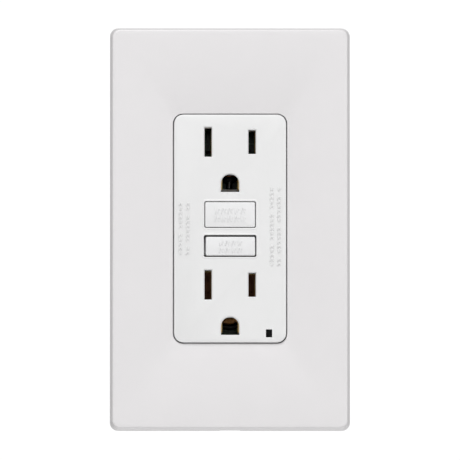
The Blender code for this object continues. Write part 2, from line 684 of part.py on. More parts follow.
def button(name, width, height, middle, front):
    """Hollow cap with a lip at each side that keeps it behind the face."""
    cap = rounded_box(name, centred(middle[0], width), (front, BUTTON_BACK), centred(middle[1], height),
                      BUTTON_CORNER, BUTTON_WHITE, BUTTON_EDGE)
    lip = box(name + "_lip", centred(middle[0], width + 2 * BUTTON_LIP),
              (BUTTON_BACK - BUTTON_LIP_THICK, BUTTON_BACK), centred(middle[1], height - 2 * BUTTON_CORNER))
    hollow = box(name + "_hollow", centred(middle[0], width - 2 * BUTTON_WALL),
                 (front + BUTTON_WALL, BUTTON_BACK + PAST), centred(middle[1], height - 2 * BUTTON_WALL))
    join(cap, lip)
    cut(cap, hollow)
    return cap


def reset_group():
    """Reset button with its pin and return spring."""
    roof = FACE_FRONT + BUTTON_WALL
    cap = button("reset_button", RESET_WELL_WIDTH - 2 * RESET_PLAY, RESET_WELL_HEIGHT - 2 * RESET_PLAY,
                 (0, RESET_Z), FACE_FRONT)
    post = pin_y("reset_post", POST_RADIUS, (0, RESET_Z), (roof - GAP, roof + POST_LENGTH))
    socket = pin_y("reset_socket", PIN_RADIUS + GAP, (0, RESET_Z), (roof, roof + POST_LENGTH + PAST))
    join(cap, post)
    cut(cap, socket)
    top = roof + GAP
    flange = LATCH_BACK + RESET_POP + GAP
    foot = flange + PIN_FLANGE_THICK
    profile = [(0, -top), (PIN_RADIUS, -top), (PIN_RADIUS, -flange), (PIN_FLANGE_RADIUS, -flange),
               (PIN_FLANGE_RADIUS, -foot), (PIN_RADIUS, -foot - PIN_POINT), (0, -foot - PIN_POINT)]
    turned("reset_pin", profile, (0, 0, RESET_Z), TO_ROOM, SPRING_STEEL, steps=16)
    coil("reset_spring", POST_RADIUS + 2 * GAP, SPRING_WIRE, 5, MIDDLE_FRONT - GAP - top, (0, top, RESET_Z),
         TO_BOX, SPRING_STEEL)


def test_group():
    """Test button, the leaf arm under its stem and the resistor that the arm touches."""
    middle = TEST_MIDDLE
    cap = button("test_button", TEST_WELL_WIDTH - 2 * TEST_PLAY, TEST_WELL_HEIGHT - 2 * TEST_PLAY,
                 middle, FACE_FRONT + TEST_SUNK)
    stem_end = MIDDLE_INNER + GAP
    stem = pin_y("test_stem", STEM_RADIUS, middle, (FACE_FRONT + BUTTON_WALL, stem_end))
    join(cap, stem)
    arm_front = stem_end + GAP
    arm_back = arm_front + TEST_ARM_THICK
    arm = box("test_arm", (TEST_ARM_FREE_END, TEST_ARM_LENGTH + TEST_ARM_ROOT), (arm_front, arm_back),
              centred(middle[1], TEST_ARM_WIDTH), BRASS)
    hang(arm, "test_arm_pivot", (TEST_ARM_LENGTH, (arm_front + arm_back) / 2, middle[1]))
    top = arm_back + TEST_PRESS + GAP
    body_end = ON_BOARD - RESISTOR_STANDOFF
    body_top = body_end - RESISTOR_BODY
    profile = [(0, -top), (LEAD_RADIUS, -top), (LEAD_RADIUS, -body_top),
               (RESISTOR_RADIUS, -body_top - LEAD_RADIUS), (RESISTOR_RADIUS, -body_end + LEAD_RADIUS),
               (LEAD_RADIUS, -body_end), (LEAD_RADIUS, -ON_BOARD), (0, -ON_BOARD)]
    turned("test_resistor", profile, (RESISTOR_X, 0, middle[1] - RESISTOR_DROP), TO_ROOM, RESISTOR_TAN,
           steps=12)


def lamp():
    """Light pipe from the face's window to the indicator on the board."""
    width = LAMP_WIDTH - 2 * GAP
    height = LAMP_HEIGHT - 2 * GAP
    led_top = ON_BOARD - LED_HEIGHT
    pipe = box("light_pipe", centred(LAMP_X, width), (FACE_FRONT + GAP, led_top - GAP),
               centred(LAMP_Z, height), SMOKED_LENS)
    collar = box("pipe_collar", centred(LAMP_X, 2 * width),
                 (FACE_INNER + GAP, FACE_INNER + GAP + width), centred(LAMP_Z, height))
    join(pipe, collar)
    profile = [(0, -led_top), (0.7 * LED_RADIUS, -led_top - 0.2 * LED_RADIUS),
               (LED_RADIUS, -led_top - 0.8 * LED_RADIUS), (LED_RADIUS, -ON_BOARD), (0, -ON_BOARD)]
    turned("indicator_led", profile, (LAMP_X, 0, LAMP_Z), TO_ROOM, LED_CLEAR, steps=16)


# Mounting strap and its fasteners

def strap_outline():
    """Strap's outline: a wide middle with a narrower ear at each end."""
    shoulder = FLANGE_HEIGHT / 2 + GAP
    half = STRAP_WIDTH / 2
    ear = STRAP_EAR_WIDTH / 2
    tip = STRAP_LENGTH / 2
    r = STRAP_CORNER
    neck = shoulder + half - ear
    points = [(half, -shoulder), (half, shoulder), (ear, neck)]
    points += arc((ear - r, tip - r), r, 0, 90, 4) + arc((r - ear, tip - r), r, 90, 180, 4)
    points += [(-ear, neck), (-half, shoulder), (-half, -shoulder), (-ear, -neck)]
    points += arc((r - ear, r - tip), r, 180, 270, 4) + arc((ear - r, r - tip), r, 270, 360, 4)
    return points + [(ear, -neck)]


def slot_outline(length, width, steps=6):
    """Slot with round ends, long side across."""
    r = width / 2
    reach = length / 2 - r
    return arc((reach, 0), r, -90, 90, steps) + arc((-reach, 0), r, 90, 270, steps)


def mounting_strap():
    """Steel strap with plug windows, screw holes, a ground clip at each outlet and a ground tab."""
    middle = (0, STRAP_FRONT / 2, 0)
    strap = flat_part("mounting_strap", strap_outline(), STRAP_THICK, middle, TO_ROOM, ZINC)
    through = (STRAP_FRONT - PAST, PAST)
    tall = NEUTRAL_SLOT_HEIGHT + 2 * STRAP_WINDOW_MARGIN
    upper = box("strap_upper_window", centred(0, 2 * WINDOW_HALF), through, centred(UPPER_ROW, tall))
    low = LOWER_ROW - tall / 2
    high = RESET_Z + RESET_WELL_HEIGHT / 2 + GAP
    lower = box("strap_lower_window", centred(0, 2 * WINDOW_HALF), through, (low, high))
    pipe_hole = box("strap_pipe_hole", centred(LAMP_X, LAMP_WIDTH), through, centred(LAMP_Z, LAMP_HEIGHT))
    cut(strap, upper, lower, pipe_hole)
    for row in (UPPER_ROW, LOWER_ROW):
        clip_half = GROUND_LEAF_X + LEAF_THICK + GAP
        clip_hole = box("strap_clip_hole", centred(0, 2 * clip_half), through,
                        centred(row - GROUND_DROP, GROUND_WAY))
        cut(strap, clip_hole)
    for end in (-1, 1):
        slot = flat_part("box_screw_slot", slot_outline(STRAP_SLOT_LENGTH, 2 * BOX_SCREW_RADIUS + 2 * GAP),
                         STRAP_THICK + 2 * PAST, (0, STRAP_FRONT / 2, end * BOX_SCREW_Z), TO_ROOM)
        tapped = pin_y("plate_screw_tap", PLATE_SCREW_RADIUS + GAP, (0, end * PLATE_SCREW_Z), through)
        cut(strap, slot, tapped)
    ear = STRAP_EAR_WIDTH / 2
    tab = box("ground_tab", (-ear, STRAP_THICK - ear), (STRAP_FRONT / 2, GROUND_TAB_DEPTH),
              centred(GROUND_SCREW_Z, 2 * GROUND_HEAD_RADIUS))
    join(strap, tab)
    tab_hole = pin_x("ground_tab_hole", PLATE_SCREW_RADIUS + GAP, (GROUND_SCREW_Y, GROUND_SCREW_Z),
                     (-ear - PAST, STRAP_THICK + PAST - ear))
    cut(strap, tab_hole)
    return strap


def ground_screw():
    """Green hexagon washer-head screw on the strap's tab."""
    head = -STRAP_EAR_WIDTH / 2 - GAP
    spot = (GROUND_SCREW_Y, GROUND_SCREW_Z)
    middle = head - GROUND_WASHER_THICK / 2
    screw = pin_x("ground_screw", PLATE_SCREW_RADIUS, spot, (middle, head + GROUND_SCREW_LENGTH), GREEN_STEEL)
    flange = pin_x("ground_washer", GROUND_HEAD_RADIUS, spot, (head, head - GROUND_WASHER_THICK))
    hexagon = pin_x("ground_hexagon", GROUND_HEX_SHARE * GROUND_HEAD_RADIUS, spot,
                    (middle, head - GROUND_HEAD_THICK), steps=6)
    join(screw, flange, hexagon)
    driver_slot("ground_slot", screw, 3 * GROUND_HEAD_RADIUS, "z", head - GROUND_HEAD_THICK, "-x")


def ground_contacts():
    """A spring clip for the ground pin behind each D-shaped hole."""
    for name, row in (("upper", UPPER_ROW), ("lower", LOWER_ROW)):
        z = row - GROUND_DROP
        outer = GROUND_LEAF_X + LEAF_THICK
        tall = centred(z, GROUND_LEAF_HEIGHT)
        back = GROUND_CLIP_DEPTH + LEAF_THICK
        clip = box(f"ground_contact_{name}", centred(0, 2 * outer), (FACE_INNER + GAP, back), tall, BRASS)
        inside = box("clip_inside", centred(0, 2 * GROUND_LEAF_X), (FACE_INNER - PAST, GROUND_CLIP_DEPTH),
                     centred(z, 2 * GROUND_LEAF_HEIGHT))
        wings = box("clip_wings", centred(0, 2 * (outer + GROUND_WING)), (GAP, GAP + LEAF_THICK), tall)
        join(clip, wings)
        cut(clip, inside)


def box_screws():
    """Screws that hold the strap to the wall box, each with its fibre retainer."""
    for name, end in (("top", 1), ("bottom", -1)):
        z = end * BOX_SCREW_Z
        head = BOX_SCREW_HEAD_THICK
        crown = HEAD_CROWN
        profile = [(0, head), (BOX_SCREW_HEAD_RADIUS - crown, head), (BOX_SCREW_HEAD_RADIUS, head - crown),
                   (BOX_SCREW_HEAD_RADIUS, 0), (BOX_SCREW_RADIUS, 0), (BOX_SCREW_RADIUS, -BOX_SCREW_LENGTH),
                   (0, -BOX_SCREW_LENGTH)]
        screw = turned(f"box_screw_{name}", profile, (0, FLANGE_BACK, z), TO_ROOM, ZINC)
        driver_slot("box_screw_slot_cut", screw, 3 * BOX_SCREW_HEAD_RADIUS, "z", FLANGE_BACK - head, "-y")
        retainer = box(f"screw_retainer_{name}", centred(0, RETAINER_SIDE), (GAP, GAP + RETAINER_THICK),
                       centred(z, RETAINER_SIDE), FIBRE)
        cut(retainer, pin_y("retainer_hole", BOX_SCREW_RADIUS + GAP, (0, z),
                            (-PAST, GAP + RETAINER_THICK + PAST)))


# Housings

def column_places():
    """Corner places of the four screws that hold the housings together."""
    return [(side * COLUMN_X, end * COLUMN_Z) for end in (1, -1) for side in (-1, 1)]


def middle_housing():
    """Open-backed housing that carries the face contacts."""
    housing = rounded_box("middle_housing", centred(0, BODY_WIDTH), (MIDDLE_FRONT, MIDDLE_BACK),
                          centred(0, BODY_HEIGHT), BODY_CORNER, HOUSING_WHITE)
    hollow = box("middle_hollow", centred(0, BODY_WIDTH - 2 * MIDDLE_WALL),
                 (MIDDLE_INNER, MIDDLE_BACK + PAST), centred(0, BODY_HEIGHT - 2 * MIDDLE_WALL))
    for spot in column_places():
        cut(hollow, pin_y("middle_column", COLUMN_RADIUS, spot,
                          (MIDDLE_INNER - PAST, MIDDLE_BACK + 2 * PAST)))
    cut(housing, hollow)
    through = (MIDDLE_FRONT - PAST, MIDDLE_INNER + PAST)
    for row in (UPPER_ROW, LOWER_ROW):
        for side, height in ((-1, NEUTRAL_SLOT_HEIGHT), (1, HOT_SLOT_HEIGHT)):
            grip = SLOT_WIDTH + 2 * LEAF_THICK + 2 * GAP
            cut(housing, box("grip_hole", centred(side * BLADE_X, grip), through, centred(row, height)))
        clip = 2 * (GROUND_LEAF_X + LEAF_THICK + GROUND_WING + GAP)
        cut(housing, box("clip_hole", centred(0, clip), through, centred(row - GROUND_DROP, GROUND_WAY)))
    cut(housing, pin_y("pin_hole", PIN_RADIUS + GAP, (0, RESET_Z), through))
    cut(housing, pin_y("stem_hole", STEM_RADIUS + GAP, TEST_MIDDLE, through))
    cut(housing, box("pipe_hole", centred(LAMP_X, LAMP_WIDTH), through, centred(LAMP_Z, LAMP_HEIGHT)))
    for spot in column_places():
        cut(housing, pin_y("middle_screw_hole", HOUSING_SCREW_RADIUS + GAP, spot,
                           (-PAST, MIDDLE_BACK + PAST)))
    for side in (-1, 1):
        rib = box("bus_rib", centred(side * BLADE_X, RIB_THICK), (MIDDLE_INNER - GAP, BUS_Y - GAP),
                  (RIB_LOW, UPPER_ROW - NEUTRAL_SLOT_HEIGHT / 2 - PAST))
        join(housing, rib)
    return housing


def rear_housing():
    """Deep tray with a recess for each terminal and wire holes in its back."""
    housing = rounded_box("rear_housing", centred(0, BODY_WIDTH), (REAR_FRONT, BODY_DEPTH),
                          centred(0, BODY_HEIGHT), BODY_CORNER, HOUSING_GREY)
    hollow = box("rear_hollow", centred(0, BODY_WIDTH - 2 * REAR_WALL), (REAR_FRONT - PAST, FLOOR),
                 centred(0, BODY_HEIGHT - 2 * REAR_WALL))
    for spot in column_places():
        cut(hollow, pin_y("rear_column", COLUMN_RADIUS, spot, (REAR_FRONT - 2 * PAST, FLOOR + PAST)))
    for side in (-1, 1):
        for end in (-1, 1):
            cut(hollow, box("recess_block", sorted((side * RECESS_INNER_X, side * BODY_WIDTH)),
                            (REAR_FRONT - 2 * PAST, FLOOR + PAST),
                            centred(end * TERMINAL_Z, RECESS_HEIGHT + 2 * RECESS_WALL)))
            cut(hollow, pin_y("board_post", BOARD_POST_RADIUS, (side * BOARD_POST_X, end * BOARD_POST_Z),
                              (BOARD_BACK + GAP, FLOOR + PAST), steps=12))
    cut(housing, hollow)
    for side in (-1, 1):
        for end in (-1, 1):
            cut_terminal_recess(housing, side, end * TERMINAL_Z)
        tab_notch = box("tab_notch",
                        sorted((side * (RECESS_INNER_X - PAST), side * (RECESS_FLOOR_X + PAST))),
                        (REAR_FRONT - PAST, LINE_TAB_BACK + GAP), centred(-TERMINAL_Z, TAB_WIDTH + 2 * GAP))
        cut(housing, tab_notch)
    head_seat = BODY_DEPTH - HOUSING_SCREW_HEAD_THICK - 2 * GAP
    for spot in column_places():
        cut(housing, pin_y("rear_screw_hole", HOUSING_SCREW_RADIUS + GAP, spot,
                           (REAR_FRONT - PAST, BODY_DEPTH + PAST)))
        cut(housing, pin_y("rear_head_hole", HOUSING_SCREW_HEAD_RADIUS + GAP, spot,
                           (head_seat, BODY_DEPTH + PAST)))
    return housing


def cut_terminal_recess(housing, side, z):
    """Open the side of the rear housing for a terminal, its screw and its two wires."""
    cut(housing, box("terminal_recess", sorted((side * RECESS_FLOOR_X, side * BODY_WIDTH)),
                     (REAR_FRONT - PAST, RECESS_BACK), centred(z, RECESS_HEIGHT)))
    cut(housing, pin_x("terminal_screw_hole", TERMINAL_SCREW_RADIUS + GAP, (SCREW_Y, z),
                       (side * (RECESS_INNER_X - PAST), side * (RECESS_FLOOR_X + PAST))))
    for step in (-1, 1):
        spot = (side * (CLAMP_X + GAP), z + step * WIRE_HOLE_SPREAD)
        cut(housing, pin_y("wire_hole", WIRE_HOLE_RADIUS, spot, (RECESS_BACK - PAST, BODY_DEPTH + PAST),
                           steps=16))


def housing_screws():
    """Four long screws from the back, through both housings into the cover's flange."""
    names = ("top_left", "top_right", "bottom_left", "bottom_right")
    for name, (x, z) in zip(names, column_places()):
        back = BODY_DEPTH - GAP
        neck = back - HOUSING_SCREW_HEAD_THICK
        tip = FLANGE_FRONT + BLIND_HOLE_WALL + GAP
        profile = [(0, back), (HOUSING_SCREW_HEAD_RADIUS, back), (HOUSING_SCREW_HEAD_RADIUS, neck),
                   (HOUSING_SCREW_RADIUS, neck), (HOUSING_SCREW_RADIUS, tip), (0, tip)]
        screw = turned(f"housing_screw_{name}", profile, (x, 0, z), TO_BOX, ZINC, steps=16)
        driver_slot("housing_screw_slot", screw, 3 * HOUSING_SCREW_HEAD_RADIUS, "z", back, "+y")


# Contacts and conductors

def face_contact(name, side, slot_height, material):
    """Bus bar with two blade grips, a fixed contact and a tab to the load terminal."""
    x = side * BLADE_X
    low = LOWER_ROW - slot_height / 2
    high = UPPER_ROW + slot_height / 2
    bus = box(name, centred(x, BUS_WIDTH), (BUS_Y, BUS_Y + BUS_THICK), (low, high), material)
    tab_end = side * (RECESS_FLOOR_X - BUS_TAB_SHORT)
    tab = box("bus_tab", sorted((x, tab_end)), (BUS_Y, BUS_Y + BUS_THICK), centred(TERMINAL_Z, TAB_WIDTH))
    rivet = pin_y("fixed_rivet", RIVET_RADIUS, (x, RIVET_Z), (BUS_Y + BUS_THICK / 2, RIVET_BACK), steps=16)
    join(bus, tab, rivet)
    for row in (UPPER_ROW, LOWER_ROW):
        for lean in (-1, 1):
            inner = x + lean * SLOT_WIDTH / 2
            leaf = box("grip_leaf", sorted((inner, inner + lean * LEAF_THICK)),
                       (FACE_INNER + GRIP_REACH, BUS_Y + BUS_THICK / 2), centred(row, slot_height - 2 * GAP))
            join(bus, leaf)
    return bus


def contact_arm(name, side):
    """Moving contact arm that the carriage lifts against the fixed contact."""
    x = side * BLADE_X
    arm = box(name, centred(x, ARM_WIDTH), (ARM_FRONT, ARM_BACK), (ARM_PIVOT_Z - ARM_ROOT, RIVET_Z + ARM_TIP),
              COPPER)
    rivet = pin_y("moving_rivet", RIVET_RADIUS, (x, RIVET_Z),
                  (RIVET_BACK + GAP, ARM_BACK - ARM_THICK / 2), steps=16)
    join(arm, rivet)
    hang(arm, name + "_pivot", (x, ARM_BACK, ARM_PIVOT_Z))


def line_conductor(name, side):
    """Bar through the coils, with a foot that carries the moving arm."""
    foot = (WING_FRONT, WING_FRONT + ARM_THICK)
    bar = box(name, centred(side * CONDUCTOR_X, CONDUCTOR_THICK), (foot[0], ON_BOARD),
              centred(COIL_Z, CONDUCTOR_WIDTH), COPPER)
    inner = side * (CONDUCTOR_X - CONDUCTOR_THICK / 2)
    outer = side * (BLADE_X + ARM_WIDTH / 2)
    plate = box("conductor_foot", sorted((inner, outer)), foot, (COIL_Z - CONDUCTOR_WIDTH / 2, ARM_PIVOT_Z))
    join(bar, plate)


def terminal_strip(side, load):
    """Outline of the bent strip: along the plate, inwards, and back to the board on a line side."""
    outer = TERMINAL_X + TERMINAL_THICK - STRIP_INSET
    inner = TERMINAL_X + STRIP_INSET
    if load:
        front = LOAD_TAB_FRONT
        reach = RECESS_FLOOR_X - BUS_TAB_SHORT - LOAD_TAB_OVERLAP
        inward = [(inner, front + BUS_THICK), (reach, front + BUS_THICK), (reach, front)]
    else:
        front = LINE_TAB_FRONT
        inward = [(inner, front + BUS_THICK), (LEG_X + BUS_THICK, front + BUS_THICK),
                  (LEG_X + BUS_THICK, ON_BOARD), (LEG_X, ON_BOARD), (LEG_X, front)]
    outline = [(outer, front), (outer, SCREW_Y), (inner, SCREW_Y)] + inward
    return [(side * x, y) for x, y in outline]


def terminal(name, side, end, material):
    """Terminal plate in its recess, bent inwards to the board or to the load bus bar."""
    z = end * TERMINAL_Z
    plate = box(name, sorted((side * TERMINAL_X, side * (TERMINAL_X + TERMINAL_THICK))),
                (SCREW_Y - TERMINAL_HEIGHT / 2, RECESS_BACK - GAP), centred(z, TERMINAL_HEIGHT), material)
    join(plate, flat_part("terminal_strip", terminal_strip(side, end > 0), TAB_WIDTH, (0, 0, z), TO_TOP))
    cut(plate, pin_x("terminal_tap", TERMINAL_SCREW_RADIUS + GAP, (SCREW_Y, z),
                     (side * (TERMINAL_X - PAST), side * (TERMINAL_X + TERMINAL_THICK + PAST))))


def terminal_clamp(name, side, end, material):
    """Pressure plate under the screw's head."""
    z = end * TERMINAL_Z
    clamp = box(name, sorted((side * CLAMP_X, side * (CLAMP_X + CLAMP_THICK))), centred(SCREW_Y, CLAMP_DEPTH),
                centred(z, CLAMP_HEIGHT), material)
    cut(clamp, pin_x("clamp_hole", TERMINAL_SCREW_RADIUS + GAP, (SCREW_Y, z),
                     (side * (CLAMP_X - PAST), side * (CLAMP_X + CLAMP_THICK + PAST))))


def terminal_screw(name, side, end, material):
    """Binding screw with a round head and a driver slot."""
    head = TERMINAL_HEAD_THICK
    crown = HEAD_CROWN
    shank = TERMINAL_SCREW_RADIUS
    length = TERMINAL_SCREW_LENGTH
    profile = [(0, head), (TERMINAL_HEAD_RADIUS - crown, head), (TERMINAL_HEAD_RADIUS, head - crown),
               (TERMINAL_HEAD_RADIUS, 0), (shank, 0), (shank, -length), (0, -length)]
    turn, facing = (TO_RIGHT, "+x") if side > 0 else (TO_LEFT, "-x")
    screw = turned(name, profile, (side * HEAD_X, SCREW_Y, end * TERMINAL_Z), turn, material)
    driver_slot(name + "_slot", screw, 1.5 * TERMINAL_HEAD_RADIUS, "z", side * (HEAD_X + head), facing)


def terminals():
    """Line terminals below and load terminals above, brass for hot and silver for neutral."""
    for end_name, end in (("load", 1), ("line", -1)):
        for side_name, side, material in (("neutral", -1, NICKEL), ("hot", 1, BRASS)):
            terminal(f"{end_name}_{side_name}_terminal", side, end, material)
            terminal_clamp(f"{end_name}_{side_name}_clamp", side, end, material)
            terminal_screw(f"{end_name}_{side_name}_screw", side, end, material)


# Trip mechanism and circuit board

def circuit_board():
    """Board on the posts of the rear housing, with the small parts that stand on it."""
    low = -BODY_HEIGHT / 2 + REAR_WALL + GAP
    high = COLUMN_Z
    box("circuit_board", centred(0, 2 * BOARD_HALF), (BOARD_FRONT, BOARD_BACK), (low, high), BOARD_GREEN)
    chip_x, chip_z = CHIP_MIDDLE
    box("controller_chip", centred(chip_x, CHIP_SIZE[0]), (ON_BOARD - CHIP_SIZE[1], ON_BOARD),
        centred(chip_z, CHIP_SIZE[2]), DARK_PLASTIC)
    cap_top = ON_BOARD - CAPACITOR_HEIGHT
    can = CAPACITOR_RADIUS
    profile = [(0, -cap_top), (can - LEAD_RADIUS, -cap_top), (can, -cap_top - LEAD_RADIUS), (can, -ON_BOARD),
               (0, -ON_BOARD)]
    turned("capacitor", profile, (CAPACITOR_PLACE[0], 0, CAPACITOR_PLACE[1]), TO_ROOM, DARK_PLASTIC, steps=20)
    x, z = DISC_PLACE
    disc_y = ON_BOARD - DISC_LIFT
    disc = rod("surge_disc", DISC_RADIUS, (x, disc_y, z - DISC_THICK / 2), (x, disc_y, z + DISC_THICK / 2),
               DISC_BLUE)
    for side in (-1, 1):
        spot = (x + side * DISC_LEAD_SPREAD, z)
        join(disc, pin_y("disc_lead", LEAD_RADIUS, spot, (disc_y + LEAD_RADIUS, ON_BOARD), steps=8))


def coils():
    """Two toroids in a case round the line conductors."""
    depth = ON_BOARD - COIL_FRONT
    wall = COIL_CASE_WALL
    case = COIL_CASE_RADIUS
    profile = [(case, depth), (case, 0), (COIL_BORE_RADIUS, 0), (COIL_BORE_RADIUS, depth),
               (COIL_TUBE_RADIUS, depth), (COIL_TUBE_RADIUS, wall), (case - wall, wall), (case - wall, depth)]
    turned("coil_housing", profile, (0, ON_BOARD, COIL_Z), TO_ROOM, DARK_PLASTIC, ring=True, steps=28)
    inner = COIL_TUBE_RADIUS + GAP
    outer = case - wall - GAP
    each = (depth - wall - 3 * GAP) / 2
    soft = COIL_SOFT
    ring = [(outer - soft, each), (outer, each - soft), (outer, soft), (outer - soft, 0), (inner + soft, 0),
            (inner, soft), (inner, each - soft), (inner + soft, each)]
    first = ON_BOARD - wall - GAP
    turned("neutral_coil", ring, (0, first, COIL_Z), TO_ROOM, COPPER, ring=True)
    turned("sense_coil", ring, (0, first - each - GAP, COIL_Z), TO_ROOM, COPPER, ring=True)


def solenoid():
    """Coil, plunger and return spring that pull the latch."""
    length = BOBBIN_LENGTH
    bore = PLUNGER_RADIUS + GAP
    under = length - BOBBIN_FLANGE
    profile = [(BOBBIN_RADIUS, length), (BOBBIN_RADIUS, under), (BOBBIN_TUBE, under),
               (BOBBIN_TUBE, BOBBIN_FLANGE), (BOBBIN_RADIUS, BOBBIN_FLANGE), (BOBBIN_RADIUS, 0),
               (bore, 0), (bore, length)]
    foot = (0, SOLENOID_Y, BOBBIN_START)
    turned("solenoid_bobbin", profile, foot, TO_TOP, DARK_PLASTIC, ring=True)
    low = BOBBIN_FLANGE + GAP
    high = length - BOBBIN_FLANGE - GAP
    inner = BOBBIN_TUBE + GAP
    outer = BOBBIN_RADIUS - GAP
    winding = [(outer, high), (outer, low), (inner, low), (inner, high)]
    turned("solenoid_winding", winding, foot, TO_TOP, COPPER, ring=True)
    nose = LATCH_TAB_TOP + GAP
    shoulder = BOBBIN_START + 1.5 * BOBBIN_FLANGE
    head = BOBBIN_START + length + PLUNGER_SPRING_LENGTH + 2 * GAP
    top = head + PLUNGER_HEAD_THICK
    shaft = [(0, top), (PLUNGER_HEAD_RADIUS, top), (PLUNGER_HEAD_RADIUS, head),
             (PLUNGER_RADIUS, head), (PLUNGER_RADIUS, shoulder), (PLUNGER_NOSE_RADIUS, shoulder),
             (PLUNGER_NOSE_RADIUS, nose), (0, nose)]
    turned("plunger", shaft, (0, SOLENOID_Y, 0), TO_TOP, ZINC, steps=20)
    coil("plunger_spring", PLUNGER_RADIUS + 2 * GAP, SPRING_WIRE, 3, PLUNGER_SPRING_LENGTH,
         (0, SOLENOID_Y, BOBBIN_START + length + GAP), TO_TOP, SPRING_STEEL)


def keyhole(width, release):
    """Keyhole that holds the pin's flange at rest and frees it at the end of the travel."""
    r = width / 2
    reach = math.sqrt(release ** 2 - r ** 2)
    points = arc((0, RESET_Z), r, 180, 360, 6)
    join_angle = math.degrees(math.atan2(-reach, r))
    points += arc((0, RESET_Z + LATCH_TRAVEL), release, join_angle, 180 - join_angle, 12)
    return points


def latch():
    """Carriage that lifts the contact arms, with the latch plate and its spring inside it."""
    half = CARRIAGE_WIDTH / 2
    carriage = box("latch_carriage", (-half, half), (CARRIAGE_FRONT, CARRIAGE_BACK),
                   (CARRIAGE_LOW, CARRIAGE_HIGH), HOUSING_WHITE)
    wing_half = BLADE_X + ARM_WIDTH / 2
    wings = box("carriage_wings", (-wing_half, wing_half), (WING_FRONT, CARRIAGE_FRONT + CARRIAGE_WALL),
                centred(RESET_Z, WING_HEIGHT))
    join(carriage, wings)
    pin_way = pin_y("carriage_pin_way", PIN_FLANGE_RADIUS + 2 * GAP, (0, RESET_Z),
                    (WING_FRONT - PAST, CARRIAGE_BACK + PAST))
    low_end = LATCH_LOW - LATCH_TRAVEL - GAP
    latch_way = box("carriage_latch_way", centred(0, LATCH_WIDTH + 2 * GAP),
                    (LATCH_FRONT - GAP, LATCH_BACK + GAP), (low_end, CARRIAGE_HIGH + PAST))
    latch_y = (LATCH_FRONT + LATCH_BACK) / 2
    spring_way = box("carriage_spring_way", centred(0, LATCH_SPRING_WAY), centred(latch_y, LATCH_SPRING_WAY),
                     (SPRING_LOW, LATCH_LOW))
    cut(carriage, pin_way, latch_way, spring_way)
    plate = box("latch_plate", centred(0, LATCH_WIDTH), (LATCH_FRONT, LATCH_BACK),
                (LATCH_LOW, LATCH_TAB_TOP), ZINC)
    tab = box("latch_tab", centred(0, LATCH_WIDTH), (LATCH_FRONT, SOLENOID_Y + LATCH_TAB_DEPTH),
              (LATCH_TAB_TOP - LATCH_THICK, LATCH_TAB_TOP))
    join(plate, tab)
    outline = keyhole(KEYHOLE_WIDTH, PIN_FLANGE_RADIUS + GAP)
    cut(plate, flat_part("latch_keyhole", outline, LATCH_THICK + 2 * PAST, (0, latch_y, 0), TO_ROOM))
    spring_start = SPRING_LOW + GAP
    coil("latch_spring", LATCH_SPRING_WAY / 2 - 2 * GAP, LATCH_SPRING_WIRE, 4, LATCH_LOW - GAP - spring_start,
         (0, latch_y, spring_start), TO_TOP, SPRING_STEEL)


def main():
    """Build every piece of the outlet."""
    wall_plate()
    sub_plate()
    plate_screws()
    front_cover()
    reset_group()
    test_group()
    lamp()
    mounting_strap()
    ground_screw()
    ground_contacts()
    box_screws()
    middle_housing()
    rear_housing()
    housing_screws()
    face_contact("hot_face_contact", 1, HOT_SLOT_HEIGHT, BRASS)
    face_contact("neutral_face_contact", -1, NEUTRAL_SLOT_HEIGHT, BRASS)
    contact_arm("hot_contact_arm", 1)
    contact_arm("neutral_contact_arm", -1)
    line_conductor("line_conductor_hot", 1)
    line_conductor("line_conductor_neutral", -1)
    terminals()
    circuit_board()
    coils()
    solenoid()
    latch()


main()
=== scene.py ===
"""GFCI outlet: fine shapes, finishes, light and camera round the assembled frame.

X runs to the right, +Y into the wall and Z up. Lengths are in metres unless a name says otherwise.
"""

import logging
import math
from dataclasses import dataclass
from enum import Enum
from typing import Any, Optional, Sequence, Union

import bmesh
import bpy
from mathutils import Matrix, Vector


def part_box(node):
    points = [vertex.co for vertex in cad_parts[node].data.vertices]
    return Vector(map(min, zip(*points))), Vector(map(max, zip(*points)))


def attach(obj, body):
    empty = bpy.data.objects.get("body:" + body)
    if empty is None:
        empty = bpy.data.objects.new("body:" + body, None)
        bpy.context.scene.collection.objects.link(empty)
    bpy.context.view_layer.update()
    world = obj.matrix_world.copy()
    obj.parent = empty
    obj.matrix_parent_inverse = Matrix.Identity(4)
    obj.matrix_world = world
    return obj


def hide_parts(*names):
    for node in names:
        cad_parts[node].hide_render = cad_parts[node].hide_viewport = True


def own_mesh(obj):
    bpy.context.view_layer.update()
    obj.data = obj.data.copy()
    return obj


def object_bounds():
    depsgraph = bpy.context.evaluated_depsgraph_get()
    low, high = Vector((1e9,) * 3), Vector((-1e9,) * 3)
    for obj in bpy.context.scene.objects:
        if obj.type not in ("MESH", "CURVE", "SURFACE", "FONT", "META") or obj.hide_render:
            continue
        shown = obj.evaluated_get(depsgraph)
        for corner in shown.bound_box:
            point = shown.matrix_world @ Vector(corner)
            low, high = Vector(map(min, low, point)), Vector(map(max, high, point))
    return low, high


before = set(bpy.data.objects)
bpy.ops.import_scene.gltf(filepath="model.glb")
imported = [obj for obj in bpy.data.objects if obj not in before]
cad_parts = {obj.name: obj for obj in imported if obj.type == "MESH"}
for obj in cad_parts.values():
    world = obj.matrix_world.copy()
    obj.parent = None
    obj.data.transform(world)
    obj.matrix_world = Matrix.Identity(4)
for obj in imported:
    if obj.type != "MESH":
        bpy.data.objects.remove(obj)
CAD_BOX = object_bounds()

LOG = logging.getLogger("gfci_outlet")
MM = 0.001
WELD = 0.002 * MM

